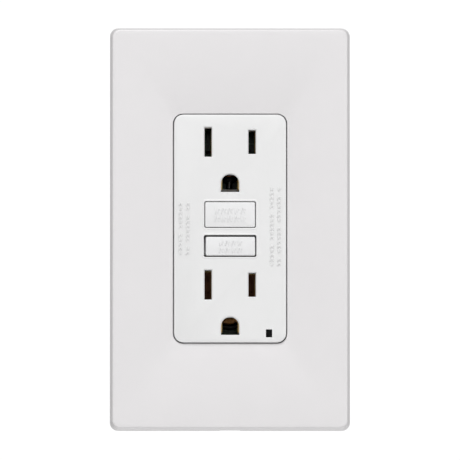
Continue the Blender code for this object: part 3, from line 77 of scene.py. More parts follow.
# Openings of both receptacles, as the frame has them
BLADE_ROWS = (25.0 * MM, -16.3 * MM)
BLADE_REACH = 6.35 * MM
SLOT_WIDTH = 2.1 * MM
HOT_SLOT = 6.9 * MM
NEUTRAL_SLOT = 8.5 * MM
GROUND_DROP = 11.9 * MM
GROUND_RADIUS = 2.62 * MM
GROUND_SILL = 2.55 * MM

Colour = tuple[float, float, float]
Triple = tuple[float, float, float]
Span = tuple[float, float]
Term = Union["Flow", float]
Profile = Sequence[tuple[float, float]]


# Finishes

class Flow:
    """A value that runs through a finish; arithmetic on it adds Math nodes."""

    def __init__(self, recipe: "Recipe", socket: bpy.types.NodeSocket) -> None:
        """Wrap one output socket of a recipe."""
        self.recipe = recipe
        self.socket = socket

    def _math(self, operation: str, first: Term, second: Term) -> "Flow":
        """Add one Math node and return its result."""
        return self.recipe.node("ShaderNodeMath", {"operation": operation}, {0: first, 1: second})

    def __add__(self, other: Term) -> "Flow":
        """Return self + other."""
        return self._math("ADD", self, other)

    def __radd__(self, other: Term) -> "Flow":
        """Return other + self."""
        return self._math("ADD", other, self)

    def __sub__(self, other: Term) -> "Flow":
        """Return self - other."""
        return self._math("SUBTRACT", self, other)

    def __rsub__(self, other: Term) -> "Flow":
        """Return other - self."""
        return self._math("SUBTRACT", other, self)

    def __mul__(self, other: Term) -> "Flow":
        """Return self * other."""
        return self._math("MULTIPLY", self, other)

    def __rmul__(self, other: Term) -> "Flow":
        """Return other * self."""
        return self._math("MULTIPLY", other, self)

    def __gt__(self, other: Term) -> "Flow":
        """Return 1 where self is above other."""
        return self._math("GREATER_THAN", self, other)

    def __lt__(self, other: Term) -> "Flow":
        """Return 1 where self is below other."""
        return self._math("LESS_THAN", self, other)

    def wave(self) -> "Flow":
        """Return the sine of the value."""
        return self._math("SINE", self, 0.0)

    def eased(self, low: float, high: float) -> "Flow":
        """Return 0 to 1 as the value goes from low to high, smoothly.

        Args:
            low: value that gives 0.
            high: value that gives 1.

        Returns:
            The eased value.
        """
        return self.recipe.node("ShaderNodeMapRange", {"interpolation_type": "SMOOTHSTEP"},
                                {"Value": self, "From Min": low, "From Max": high})


class Recipe:
    """The node tree of one finish, with a Principled shader at its end."""

    def __init__(self, name: str) -> None:
        """Start an empty finish of the given name."""
        self.material = bpy.data.materials.new(name)
        self.material.use_nodes = True
        self.tree = self.material.node_tree
        self.shader = self.tree.nodes["Principled BSDF"]

    def node(self, kind: str, settings: Optional[dict[str, Any]] = None,
             sockets: Optional[dict[Any, Any]] = None, output: Union[int, str] = 0) -> Flow:
        """Add a node.

        Args:
            kind: Blender's type name of the node.
            settings: attributes set before the sockets; "stops" fills a ramp.
            sockets: values or links of the inputs, by name or number.
            output: the output that is returned.

        Returns:
            The chosen output.
        """
        made = self.tree.nodes.new(kind)
        for key, value in (settings or {}).items():
            if key == "stops":
                self._stops(made.color_ramp, value)
            else:
                setattr(made, key, value)
        for key, value in (sockets or {}).items():
            self.feed(made.inputs[key], value)
        return Flow(self, made.outputs[output])

    @staticmethod
    def _stops(ramp: bpy.types.ColorRamp, stops: Sequence[tuple[float, Colour]]) -> None:
        """Fill a colour ramp with places and colours."""
        while len(ramp.elements) < len(stops):
            ramp.elements.new(1.0)
        for element, (place, colour) in zip(ramp.elements, stops):
            element.position = place
            element.color = (*colour, 1.0)

    def feed(self, socket: bpy.types.NodeSocket, value: Any) -> None:
        """Link a flow to a socket, or set the socket's own value."""
        if isinstance(value, Flow):
            self.tree.links.new(value.socket, socket)
        elif socket.type == "RGBA":
            socket.default_value = (*value, 1.0)
        else:
            socket.default_value = value

    def dress(self, **inputs: Any) -> bpy.types.Material:
        """Feed the shader and return the finished material.

        Args:
            inputs: shader sockets by name, with spaces written as underscores.

        Returns:
            The material.
        """
        for key, value in inputs.items():
            self.feed(self.shader.inputs[key.replace("_", " ")], value)
        return self.material

    def place(self, stretch: Triple = (1.0, 1.0, 1.0)) -> Flow:
        """Return the place on the piece in millimetres, stretched along each axis."""
        spot = self.node("ShaderNodeTexCoord", output="Object")
        factor = tuple(s / MM for s in stretch)
        return self.node("ShaderNodeVectorMath", {"operation": "MULTIPLY"}, {0: spot, 1: factor})

    def across(self, axis: str) -> Flow:
        """Return the place along one axis in millimetres."""
        return self.node("ShaderNodeSeparateXYZ", sockets={0: self.place()}, output=axis)

    def noise(self, place: Flow, size: float, detail: float = 3.0, rough: float = 0.5) -> Flow:
        """Return noise whose lumps are about the given size in millimetres."""
        return self.node("ShaderNodeTexNoise",
                         sockets={"Vector": place, "Scale": 1.0 / size, "Detail": detail, "Roughness": rough})

    def cells(self, place: Flow, size: float, feature: str = "F1") -> Flow:
        """Return the distance in a Voronoi pattern of the given cell size in millimetres."""
        return self.node("ShaderNodeTexVoronoi", {"feature": feature}, {"Vector": place, "Scale": 1.0 / size})

    def blend(self, share: Term, first: Any, second: Any) -> Flow:
        """Return a mix of two colours."""
        return self.node("ShaderNodeMix", {"data_type": "RGBA"}, {0: share, 6: first, 7: second}, output=2)

    def bump(self, height: Flow, depth_mm: float, strength: float = 1.0) -> Flow:
        """Return a normal from a height of 0 to 1 that stands for a depth in millimetres."""
        return self.node("ShaderNodeBump", sockets={"Height": height, "Distance": depth_mm * MM,
                                                    "Strength": strength})


def tinted(colour: Colour, factor: float) -> Colour:
    """Return a lighter or darker colour, within 0 to 1."""
    return tuple(min(1.0, channel * factor) for channel in colour)


@dataclass(frozen=True)
class Moulding:
    """Moulded plastic: spark-eroded grain, flow clouding and faint handling marks."""

    name: str
    colour: Colour
    roughness: float
    grain_size: float = 0.22
    grain_depth: float = 0.006
    clouding: float = 0.015
    coat: float = 0.0

    def make(self) -> bpy.types.Material:
        """Return the material."""
        recipe = Recipe(self.name)
        place = recipe.place()
        cloud = recipe.noise(place, 14.0, 2.0)
        grain = recipe.noise(place, self.grain_size, 2.0, 0.6)
        rub = recipe.noise(recipe.place((1.0, 1.0, 0.08)), 0.5, 4.0, 0.7).eased(0.56, 0.78)
        fleck = recipe.cells(place, 1.7) < 0.05
        base = recipe.blend(cloud, tinted(self.colour, 1 - self.clouding),
                            tinted(self.colour, 1 + self.clouding))
        base = recipe.blend(fleck * 0.06, base, tinted(self.colour, 0.7))
        rough = (grain - 0.5) * 0.10 + (cloud - 0.5) * 0.08 + rub * 0.05 + self.roughness
        return recipe.dress(Base_Color=base, Roughness=rough, Normal=recipe.bump(grain, self.grain_depth),
                            Coat_Weight=self.coat, Coat_Roughness=0.2, Specular_IOR_Level=0.45)


@dataclass(frozen=True)
class Plating:
    """Bare or plated metal: drawn lines, clouded plating, spangle and a little tarnish."""

    name: str
    colour: Colour
    tarnish: Colour
    roughness: float
    spread: float = 0.35
    lines: Triple = (1.0, 1.0, 0.06)
    metallic: float = 1.0

    def make(self) -> bpy.types.Material:
        """Return the material."""
        recipe = Recipe(self.name)
        place = recipe.place()
        cloud = recipe.noise(place, 3.5, 4.0, 0.6)
        spangle = recipe.cells(place, 0.8)
        drawn = recipe.noise(recipe.place(self.lines), 0.16, 3.0, 0.6)
        stained = cloud.eased(0.45, 0.85) * self.spread
        base = recipe.blend(spangle * 0.25, self.colour, tinted(self.colour, 0.82))
        base = recipe.blend(stained, base, self.tarnish)
        rough = (drawn - 0.5) * 0.22 + stained * 0.3 + spangle * 0.05 + self.roughness
        relief = drawn * 0.7 + recipe.noise(place, 0.3) * 0.3
        return recipe.dress(Base_Color=base, Roughness=rough, Metallic=self.metallic,
                            Normal=recipe.bump(relief, 0.006))


@dataclass(frozen=True)
class Enamel:
    """Enamelled magnet wire: warm metal under clear lacquer, darker between the turns."""

    name: str
    colour: Colour
    crease: Colour

    def make(self) -> bpy.types.Material:
        """Return the material."""
        recipe = Recipe(self.name)
        place = recipe.place()
        cloud = recipe.noise(place, 1.2, 3.0)
        lacquer = recipe.noise(place, 0.35, 2.0)
        base = recipe.blend(cloud.eased(0.35, 0.8) * 0.6, self.colour, self.crease)
        return recipe.dress(Base_Color=base, Metallic=0.85, Roughness=lacquer * 0.2 + 0.24,
                            Coat_Weight=0.7, Coat_Roughness=0.12, Normal=recipe.bump(lacquer, 0.01))


@dataclass(frozen=True)
class SolderMask:
    """Printed board: lacquer over paler tracks, with the glass weave showing through."""

    name: str
    colour: Colour
    track: Colour

    def make(self) -> bpy.types.Material:
        """Return the material."""
        recipe = Recipe(self.name)
        place = recipe.place()
        net = recipe.node("ShaderNodeTexVoronoi", {"feature": "DISTANCE_TO_EDGE", "distance": "EUCLIDEAN"},
                          {"Vector": place, "Scale": 0.22, "Randomness": 0.35})
        tracks = 1 - net.eased(0.045, 0.075)
        weave = ((recipe.across("X") * 9.0).wave() + (recipe.across("Z") * 9.0).wave()) * 0.25 + 0.5
        base = recipe.blend(weave * 0.35, self.colour, tinted(self.colour, 1.35))
        base = recipe.blend(tracks, base, self.track)
        height = tracks * 0.8 + weave * 0.2
        return recipe.dress(Base_Color=base, Roughness=recipe.noise(place, 2.0) * 0.14 + 0.26,
                            Normal=recipe.bump(height, 0.03), Coat_Weight=0.4, Coat_Roughness=0.15)


@dataclass(frozen=True)
class PressedFibre:
    """Vulcanised fibre sheet: matted hairs in two tones."""

    name: str
    colour: Colour
    hair: Colour

    def make(self) -> bpy.types.Material:
        """Return the material."""
        recipe = Recipe(self.name)
        hairs = recipe.noise(recipe.place((1.0, 1.0, 0.15)), 0.22, 5.0, 0.7)
        cross = recipe.noise(recipe.place((0.15, 1.0, 1.0)), 0.25, 5.0, 0.7)
        mat = hairs * 0.6 + cross * 0.4
        base = recipe.blend(mat.eased(0.35, 0.65), self.colour, self.hair)
        return recipe.dress(Base_Color=base, Roughness=mat * 0.2 + 0.68, Normal=recipe.bump(mat, 0.05))


@dataclass(frozen=True)
class ClearMoulding:
    """Polished resin: smoked or clear, with flow swirls and a hard gloss."""

    name: str
    colour: Colour
    swirl: Colour
    roughness: float = 0.08
    coat: float = 0.8
    gloss: float = 0.5

    def make(self) -> bpy.types.Material:
        """Return the material."""
        recipe = Recipe(self.name)
        place = recipe.place()
        flow = recipe.node("ShaderNodeTexNoise", sockets={"Vector": place, "Scale": 0.9, "Detail": 4.0,
                                                          "Distortion": 1.2})
        base = recipe.blend(flow.eased(0.4, 0.75), self.colour, self.swirl)
        return recipe.dress(Base_Color=base, Roughness=flow * 0.08 + self.roughness, Coat_Weight=self.coat,
                            Coat_Roughness=0.05, Specular_IOR_Level=self.gloss,
                            Normal=recipe.bump(flow, 0.008))


@dataclass(frozen=True)
class DippedCoat:
    """Dipped epoxy: pooled colour, soft dimples and a dusty print-free face."""

    name: str
    colour: Colour
    pool: Colour

    def make(self) -> bpy.types.Material:
        """Return the material."""
        recipe = Recipe(self.name)
        place = recipe.place()
        pool = recipe.noise(place, 2.2, 2.0)
        dimple = recipe.cells(place, 0.5)
        base = recipe.blend(pool.eased(0.35, 0.7), self.colour, self.pool)
        return recipe.dress(Base_Color=base, Roughness=dimple * 0.12 + 0.3,
                            Normal=recipe.bump(pool * 0.6 + dimple * 0.4, 0.06), Coat_Weight=0.3)


@dataclass(frozen=True)
class BandedBody:
    """Resistor lacquer with coloured value bands round the body."""

    name: str
    colour: Colour
    bands: Sequence[tuple[float, Colour]]
    half_width: float = 0.28

    def make(self) -> bpy.types.Material:
        """Return the material."""
        recipe = Recipe(self.name)
        along = recipe.across("Y")
        lacquer = recipe.noise(recipe.place(), 0.6, 3.0)
        base = recipe.blend(lacquer, tinted(self.colour, 0.9), tinted(self.colour, 1.08))
        for place, colour in self.bands:
            inside = (along > place - self.half_width) * (along < place + self.half_width)
            base = recipe.blend(inside, base, colour)
        return recipe.dress(Base_Color=base, Roughness=lacquer * 0.15 + 0.3,
                            Normal=recipe.bump(lacquer, 0.02), Coat_Weight=0.3)


class Slot(Enum):
    """The record's material slots."""

    PLATE = "plate_white"
    SUB_PLATE = "sub_plate_white"
    FACE = "face_white"
    BUTTON = "button_white"
    LENS = "smoked_lens"
    ZINC = "zinc_steel"
    SPRING = "spring_steel"
    GREEN = "green_steel"
    FIBRE = "fibre"
    HOUSING = "housing_white"
    GREY = "housing_grey"
    BRASS = "brass"
    NICKEL = "nickel"
    COPPER = "copper"
    BOARD = "board_green"
    DARK = "dark_plastic"
    DISC = "disc_blue"
    RESISTOR = "resistor_tan"
    LED = "led_clear"


RECIPES = {
    Slot.PLATE: Moulding("plate_satin", (0.765, 0.75, 0.757), 0.36, grain_depth=0.004),
    Slot.SUB_PLATE: Moulding("sub_plate_matt", (0.70, 0.70, 0.69), 0.5, clouding=0.03),
    Slot.FACE: Moulding("face_satin", (0.80, 0.80, 0.80), 0.34, grain_depth=0.004),
    Slot.BUTTON: Moulding("button_satin", (0.80, 0.80, 0.805), 0.33, grain_size=0.18, grain_depth=0.004),
    Slot.LENS: ClearMoulding("lens_smoked", (0.002, 0.002, 0.0025), (0.006, 0.005, 0.005), 0.3, 0.05, 0.15),
    Slot.ZINC: Plating("zinc_plate", (0.66, 0.67, 0.69), (0.46, 0.45, 0.41), 0.32),
    Slot.SPRING: Plating("drawn_steel", (0.52, 0.52, 0.54), (0.30, 0.27, 0.25), 0.26, spread=0.2),
    Slot.GREEN: Plating("green_dyed_plate", (0.03, 0.27, 0.09), (0.02, 0.14, 0.06), 0.34, metallic=0.7),
    Slot.FIBRE: PressedFibre("pressed_fibre", (0.36, 0.25, 0.15), (0.56, 0.43, 0.28)),
    Slot.HOUSING: Moulding("housing_ivory_white", (0.66, 0.66, 0.65), 0.45, grain_size=0.3, grain_depth=0.012,
                           clouding=0.03),
    Slot.GREY: Moulding("housing_dark_grey", (0.085, 0.086, 0.092), 0.46, grain_size=0.3, grain_depth=0.014,
                        clouding=0.10),
    Slot.BRASS: Plating("rolled_brass", (0.78, 0.58, 0.27), (0.42, 0.27, 0.12), 0.27, spread=0.4),
    Slot.NICKEL: Plating("nickel_plate", (0.70, 0.68, 0.64), (0.50, 0.46, 0.38), 0.24, spread=0.25),
    Slot.COPPER: Plating("rolled_copper", (0.55, 0.28, 0.18), (0.26, 0.12, 0.08), 0.56, spread=0.45),
    Slot.BOARD: SolderMask("solder_mask_green", (0.015, 0.14, 0.05), (0.05, 0.27, 0.10)),
    Slot.DARK: Moulding("dark_resin", (0.022, 0.022, 0.024), 0.38, clouding=0.15),
    Slot.DISC: DippedCoat("dipped_blue", (0.03, 0.10, 0.40), (0.02, 0.06, 0.26)),
    Slot.RESISTOR: BandedBody("banded_tan", (0.62, 0.47, 0.28),
                              [(15.4, (0.30, 0.10, 0.03)), (16.6, (0.02, 0.02, 0.02)),
                               (17.8, (0.55, 0.12, 0.03)), (19.4, (0.60, 0.42, 0.08))]),
    Slot.LED: ClearMoulding("led_epoxy", (0.62, 0.72, 0.62), (0.75, 0.80, 0.72), 0.05),
}
WINDING = Enamel("magnet_wire_red", (0.62, 0.20, 0.09), (0.24, 0.06, 0.03))
FINE_WINDING = Enamel("magnet_wire_amber", (0.72, 0.36, 0.12), (0.32, 0.12, 0.04))
SOLDER = Plating("solder_bright", (0.72, 0.72, 0.73), (0.45, 0.44, 0.42), 0.22, spread=0.3)


# Mesh work

class Facing(Enum):
    """Where a turned piece's top points."""

    ROOM = (0, -1, 0)
    BOX = (0, 1, 0)
    RIGHT = (1, 0, 0)
    LEFT = (-1, 0, 0)
    TOP = (0, 0, 1)

    @property
    def axis(self) -> Vector:
        """Return the direction as a vector."""
        return Vector(self.value)

    @property
    def turn(self) -> Matrix:
        """Return the rotation that takes +Z to the direction."""
        return Vector((0, 0, 1)).rotation_difference(self.axis).to_matrix().to_4x4()

    def top_of(self, node: str) -> Vector:
        """Return the middle of a node's face on this side."""
        low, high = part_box(node)
        middle = (low + high) / 2
        half = (high - low) / 2
        return middle + Vector(a * h for a, h in zip(self.axis, half))


def rounded_loop(width: float, height: float, corner: float, y: float, middle: Span = (0.0, 0.0),
                 steps: int = 6) -> list[Vector]:
    """Return a rounded rectangle in an X-Z plane.

    Args:
        width: size along X.
        height: size along Z.
        corner: radius of the corners.
        y: place of the plane.
        middle: X and Z of the middle.
        steps: segments in each corner.

    Returns:
        The loop's points.
    """
    points = []
    for quarter, (sx, sz) in enumerate(((1, 1), (-1, 1), (-1, -1), (1, -1))):
        for step in range(steps + 1):
            angle = math.pi / 2 * (quarter + step / steps)
            points.append(Vector((middle[0] + sx * (width / 2 - corner) + corner * math.cos(angle), y,
                                  middle[1] + sz * (height / 2 - corner) + corner * math.sin(angle))))
    return points


def skin(loops: Sequence[Sequence[Vector]], ring: bool = False, caps: bool = False) -> bmesh.types.BMesh:
    """Bridge closed loops of equal count into a mesh.

    Args:
        loops: the loops in order.
        ring: join the last loop to the first.
        caps: close the first and the last loop with a face.

    Returns:
        The bmesh.
    """
    bm = bmesh.new()
    rows = [[bm.verts.new(point) for point in loop] for loop in loops]
    count = len(rows[0])
    pairs = list(zip(rows, rows[1:])) + ([(rows[-1], rows[0])] if ring else [])
    for first, second in pairs:
        for index in range(count):
            after = (index + 1) % count
            bm.faces.new((first[index], first[after], second[after], second[index]))
    if caps:
        bm.faces.new(rows[0])
        bm.faces.new(rows[-1])
    return bm


def lathe(profile: Profile, steps: int = 40) -> bmesh.types.BMesh:
    """Turn a closed profile of radius and height pairs round +Z; a radius of 0 makes a point.

    Args:
        profile: pairs in order, from the axis out and back to it, or a closed ring.
        steps: segments round the axis.

    Returns:
        The bmesh.
    """
    ring = profile[0][0] > 0
    loops = [[Vector((max(radius, 0.0) * math.cos(2 * math.pi * k / steps),
                      max(radius, 0.0) * math.sin(2 * math.pi * k / steps), height)) for k in range(steps)]
             for radius, height in profile]
    bm = skin(loops, ring=ring)
    bmesh.ops.remove_doubles(bm, verts=bm.verts, dist=WELD)
    return bm


def tube(points: Sequence[Vector], radius: float, sides: int = 8) -> bmesh.types.BMesh:
    """Sweep a round wire along a line of points, with closed ends.

    Args:
        points: the middle of the wire.
        radius: radius of the wire.
        sides: segments round the wire.

    Returns:
        The bmesh.
    """
    loops = []
    side = Vector((0.0, 0.0, 0.0))
    for index, point in enumerate(points):
        ahead = points[min(index + 1, len(points) - 1)] - points[max(index - 1, 0)]
        ahead.normalize()
        if side.length < WELD:
            side = ahead.orthogonal().normalized()
        side = (side - ahead * side.dot(ahead)).normalized()
        up = ahead.cross(side)
        loops.append([point + radius * (math.cos(2 * math.pi * k / sides) * side
                                        + math.sin(2 * math.pi * k / sides) * up) for k in range(sides)])
    return skin(loops, caps=True)


def helix(radius: float, turns: float, start: float, stop: float, closed: float = 0.0,
          steps: int = 22, wire: float = 0.0) -> list[Vector]:
    """Return a helix round +Z whose end turns may lie flat.

    Args:
        radius: radius of the middle of the wire.
        turns: number of turns.
        start: height where it starts.
        stop: height where it ends.
        closed: turns at each end that rise only by the wire's thickness.
        steps: points in each turn.
        wire: diameter of the wire.

    Returns:
        The points.
    """
    points = []
    total = int(turns * steps)
    span = stop - start
    for index in range(total + 1):
        turn = index / steps
        flat = closed * wire
        if closed and turn < closed:
            height = start + turn * wire
        elif closed and turn > turns - closed:
            height = stop - (turns - turn) * wire
        else:
            share = (turn - closed) / (turns - 2 * closed)
            height = start + flat + share * (span - 2 * flat)
        angle = 2 * math.pi * turn
        points.append(Vector((radius * math.cos(angle), radius * math.sin(angle), height)))
    return points


def thread(crest: float, depth: float, pitch: float, top: float, length: float,
           steps: int = 24) -> bmesh.types.BMesh:
    """Make a screw's threaded shank, which hangs down from a height and ends in a short point.

    Args:
        crest: outer radius.
        depth: depth of the thread.
        pitch: rise of one turn.
        top: height where the shank starts.
        length: length of the shank.
        steps: segments round the axis.

    Returns:
        The bmesh.
    """
    rows = max(8, int(length / pitch * 5))
    loops = []
    for row in range(rows + 1):
        down = length * row / rows
        fade = min(1.0, down / pitch, (length - down) / pitch)
        loop = []
        for k in range(steps):
            phase = (down / pitch - k / steps) % 1.0
            rise = 1 - abs(2 * phase - 1)
            radius = crest - depth + depth * min(1.0, 1.35 * rise) * fade
            angle = 2 * math.pi * k / steps
            loop.append(Vector((radius * math.cos(angle), radius * math.sin(angle), top - down)))
        loops.append(loop)
    tip = [Vector((point.x * 0.75, point.y * 0.75, point.z)) for point in loops[-1]]
    loops[-2:] = [[Vector((p.x, p.y, top - length + depth)) for p in loops[-2]], tip]
    return skin(loops, caps=True)


def bar(size: Triple, middle: Vector, ease: float = 0.0, turn: float = 0.0) -> bmesh.types.BMesh:
    """Return a bar with eased edges, turned about Y.

    Args:
        size: lengths along X, Y and Z.
        middle: its middle.
        ease: radius of the edges.
        turn: angle about Y in degrees.

    Returns:
        The bmesh.
    """
    bm = bmesh.new()
    bmesh.ops.create_cube(bm, size=1.0)
    bmesh.ops.scale(bm, vec=Vector(size), verts=bm.verts)
    if ease:
        bmesh.ops.bevel(bm, geom=bm.edges[:], offset=min(ease, 0.45 * min(size)), segments=2, profile=0.5,
                        affect="EDGES")
    bmesh.ops.transform(bm, matrix=Matrix.Translation(middle) @ Matrix.Rotation(math.radians(turn), 4, "Y"),
                        verts=bm.verts)
    return bm


def gathered(parts: Sequence[bmesh.types.BMesh], move: Optional[Matrix] = None) -> bmesh.types.BMesh:
    """Put several closed shapes in one mesh and move them together.

    Args:
        parts: the shapes, which are freed.
        move: where they go.

    Returns:
        The bmesh.
    """
    whole = bmesh.new()
    for part in parts:
        held = bpy.data.meshes.new("held")
        part.to_mesh(held)
        part.free()
        whole.from_mesh(held)
        bpy.data.meshes.remove(held)
    if move is not None:
        bmesh.ops.transform(whole, matrix=move, verts=whole.verts)
    return whole


def carved(body: bmesh.types.BMesh, tools: Sequence[bmesh.types.BMesh]) -> bmesh.types.BMesh:
    """Cut tools out of a closed body.

    Args:
        body: the shape that is cut, which is freed.
        tools: closed shapes to take away, which are freed.

    Returns:
        The bmesh.
    """
    objects = []
    for shape in (body, *tools):
        mesh = bpy.data.meshes.new("carving")
        bmesh.ops.recalc_face_normals(shape, faces=shape.faces)
        shape.to_mesh(mesh)
        shape.free()
        item = bpy.data.objects.new("carving", mesh)
        bpy.context.scene.collection.objects.link(item)
        objects.append(item)
    for tool in objects[1:]:
        cut = objects[0].modifiers.new("cut", "BOOLEAN")
        cut.operation = "DIFFERENCE"
        cut.solver = "EXACT"
        cut.object = tool
    bpy.context.view_layer.update()
    result = bmesh.new()
    evaluated = objects[0].evaluated_get(bpy.context.evaluated_depsgraph_get())
    result.from_mesh(evaluated.to_mesh())
    evaluated.to_mesh_clear()
    for item in objects:
        mesh = item.data
        bpy.data.objects.remove(item)
        bpy.data.meshes.remove(mesh)
    return result


def frame_shape(node: str) -> bmesh.types.BMesh:
    """Return a frame node's shape with its flat faces merged.

    Args:
        node: the frame node.

    Returns:
        The bmesh.
    """
    bm = bmesh.new()
    bm.from_mesh(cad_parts[node].data)
    bmesh.ops.remove_doubles(bm, verts=bm.verts, dist=WELD)
    bmesh.ops.dissolve_limit(bm, angle_limit=math.radians(0.6), verts=bm.verts, edges=bm.edges)
    return bm


class Bench:
    """Makes pieces, dresses them and hangs them on their bodies."""

    materials: dict[Any, bpy.types.Material] = {}
    made: int = 0

    @classmethod
    def finish(cls, kind: Any) -> bpy.types.Material:
        """Return the material of a slot or of a finish, made once."""
        if kind not in cls.materials:
            cls.materials[kind] = (RECIPES[kind] if isinstance(kind, Slot) else kind).make()
        return cls.materials[kind]

    @classmethod
    def fit(cls, name: str, bm: bmesh.types.BMesh, slot: Slot, body: str = "root",
            nodes: Sequence[str] = (), finish: Any = None, smooth: float = 38.0,
            ease: float = 0.0) -> bpy.types.Object:
        """Make a piece.

        Args:
            name: name of the piece.
            bm: its shape, in the frame.
            slot: the record's material slot.
            body: the body that it rides on.
            nodes: frame nodes that it stands for.
            finish: another finish than the slot's own.
            smooth: edges flatter than this many degrees are smooth.
            ease: radius of its sharp edges.

        Returns:
            The piece.
        """
        bmesh.ops.recalc_face_normals(bm, faces=bm.faces)
        mesh = bpy.data.meshes.new(name)
        bm.verts.index_update()
        faces = [[v.index for v in face.verts] for face in bm.faces]
        mesh.from_pydata([v.co[:] for v in bm.verts], [], faces)
        bm.free()
        mesh.validate()
        mesh.shade_smooth()
        mesh.set_sharp_from_angle(angle=math.radians(smooth))
        mesh.materials.append(cls.finish(finish or slot))
        piece = bpy.data.objects.new(name, mesh)
        bpy.context.scene.collection.objects.link(piece)
        if ease:
            edges = piece.modifiers.new("eased_edges", "BEVEL")
            edges.width = ease
            edges.segments = 2
            edges.limit_method = "ANGLE"
            edges.angle_limit = math.radians(smooth)
            edges.harden_normals = True
        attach(piece, body)
        if nodes:
            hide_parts(*nodes)
        cls.made += 1
        LOG.info("%s rides on %s", name, body)
        return piece

    @classmethod
    def eased(cls, node: str, slot: Slot, ease_mm: float, body: str = "root",
              name: str = "") -> bpy.types.Object:
        """Make a piece with a node's own shape and softened edges.

        Args:
            node: the frame node.
            slot: its material slot.
            ease_mm: radius of the edges in millimetres.
            body: the body that it rides on.
            name: name of the piece.

        Returns:
            The piece.
        """
        return cls.fit(name or node + "_moulding", frame_shape(node), slot, body, (node,), ease=ease_mm * MM)


# Sub-assemblies

class Drive(Enum):
    """How a screw's head is driven."""

    SLOT = 1
    COMBINATION = 2


@dataclass
class Screw:
    """A screw with a turned head, a driver recess and a real thread."""

    node: str
    facing: Facing
    slot: Slot
    head_radius: float
    head_thick: float
    shank_radius: float
    pitch: float = 0.8 * MM
    thread_share: float = 0.448
    crown: float = 0.5 * MM
    recess: float = 0.7 * MM
    recess_width: float = 0.8 * MM
    drive: Drive = Drive.SLOT
    flat_head: bool = False
    hexagon: float = 0.0
    body: str = "root"
    cross_turn: float = 0.0

    def head(self) -> bmesh.types.BMesh:
        """Return the head with its top at height 0."""
        low = -self.head_thick
        if self.flat_head:
            profile = [(0, 0), (self.head_radius - 0.1 * MM, 0), (self.head_radius, -0.12 * MM),
                       (self.shank_radius, low), (0, low)]
            shapes = [lathe(profile)]
        elif self.hexagon:
            washer = low + 0.6 * MM
            shapes = [lathe([(0, 0), (self.hexagon - 0.3 * MM, 0), (self.hexagon, -0.3 * MM),
                             (self.hexagon, washer), (0, washer)], steps=6),
                      lathe([(0, washer + 0.15 * MM), (self.head_radius - 0.3 * MM, washer + 0.1 * MM),
                             (self.head_radius, washer - 0.15 * MM), (self.head_radius, low), (0, low)])]
        else:
            drop = self.crown
            arcs = [(self.head_radius * math.sin(a), -drop * (1 - math.cos(a * 0.9)) * 1.6)
                    for a in (0.0, 0.35, 0.7, 1.0)]
            profile = [(0, 0)] + arcs[1:] + [(self.head_radius, -drop - 0.25 * MM),
                                             (self.head_radius, low + 0.15 * MM),
                                             (self.head_radius - 0.15 * MM, low), (0, low)]
            shapes = [lathe(profile)]
        return self.slotted(gathered(shapes))

    def slotted(self, head: bmesh.types.BMesh) -> bmesh.types.BMesh:
        """Cut the driver recess into a head."""
        depth = 2 * self.recess
        middle = Vector((0, 0, 0))
        tools = [bar((4 * self.head_radius, self.recess_width, depth), middle, 0.05 * MM)]
        if self.drive is Drive.COMBINATION:
            tools.append(bar((self.recess_width, self.head_radius, depth * 1.3), middle, 0.05 * MM))
        return carved(head, tools)

    def make(self) -> bpy.types.Object:
        """Build the screw in place of its node."""
        top = self.facing.top_of(self.node)
        low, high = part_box(self.node)
        length = abs((high - low).dot(self.facing.axis)) - self.head_thick
        shank = thread(self.shank_radius, self.thread_share * self.pitch, self.pitch,
                       0.05 * MM - self.head_thick, length + 0.05 * MM)
        across = Matrix.Rotation(self.cross_turn, 4, "Z")
        place = Matrix.Translation(top) @ self.facing.turn @ across
        shape = gathered([self.head(), shank], place)
        return Bench.fit(self.node + "_threaded", shape, self.slot, self.body, (self.node,), smooth=30.0)


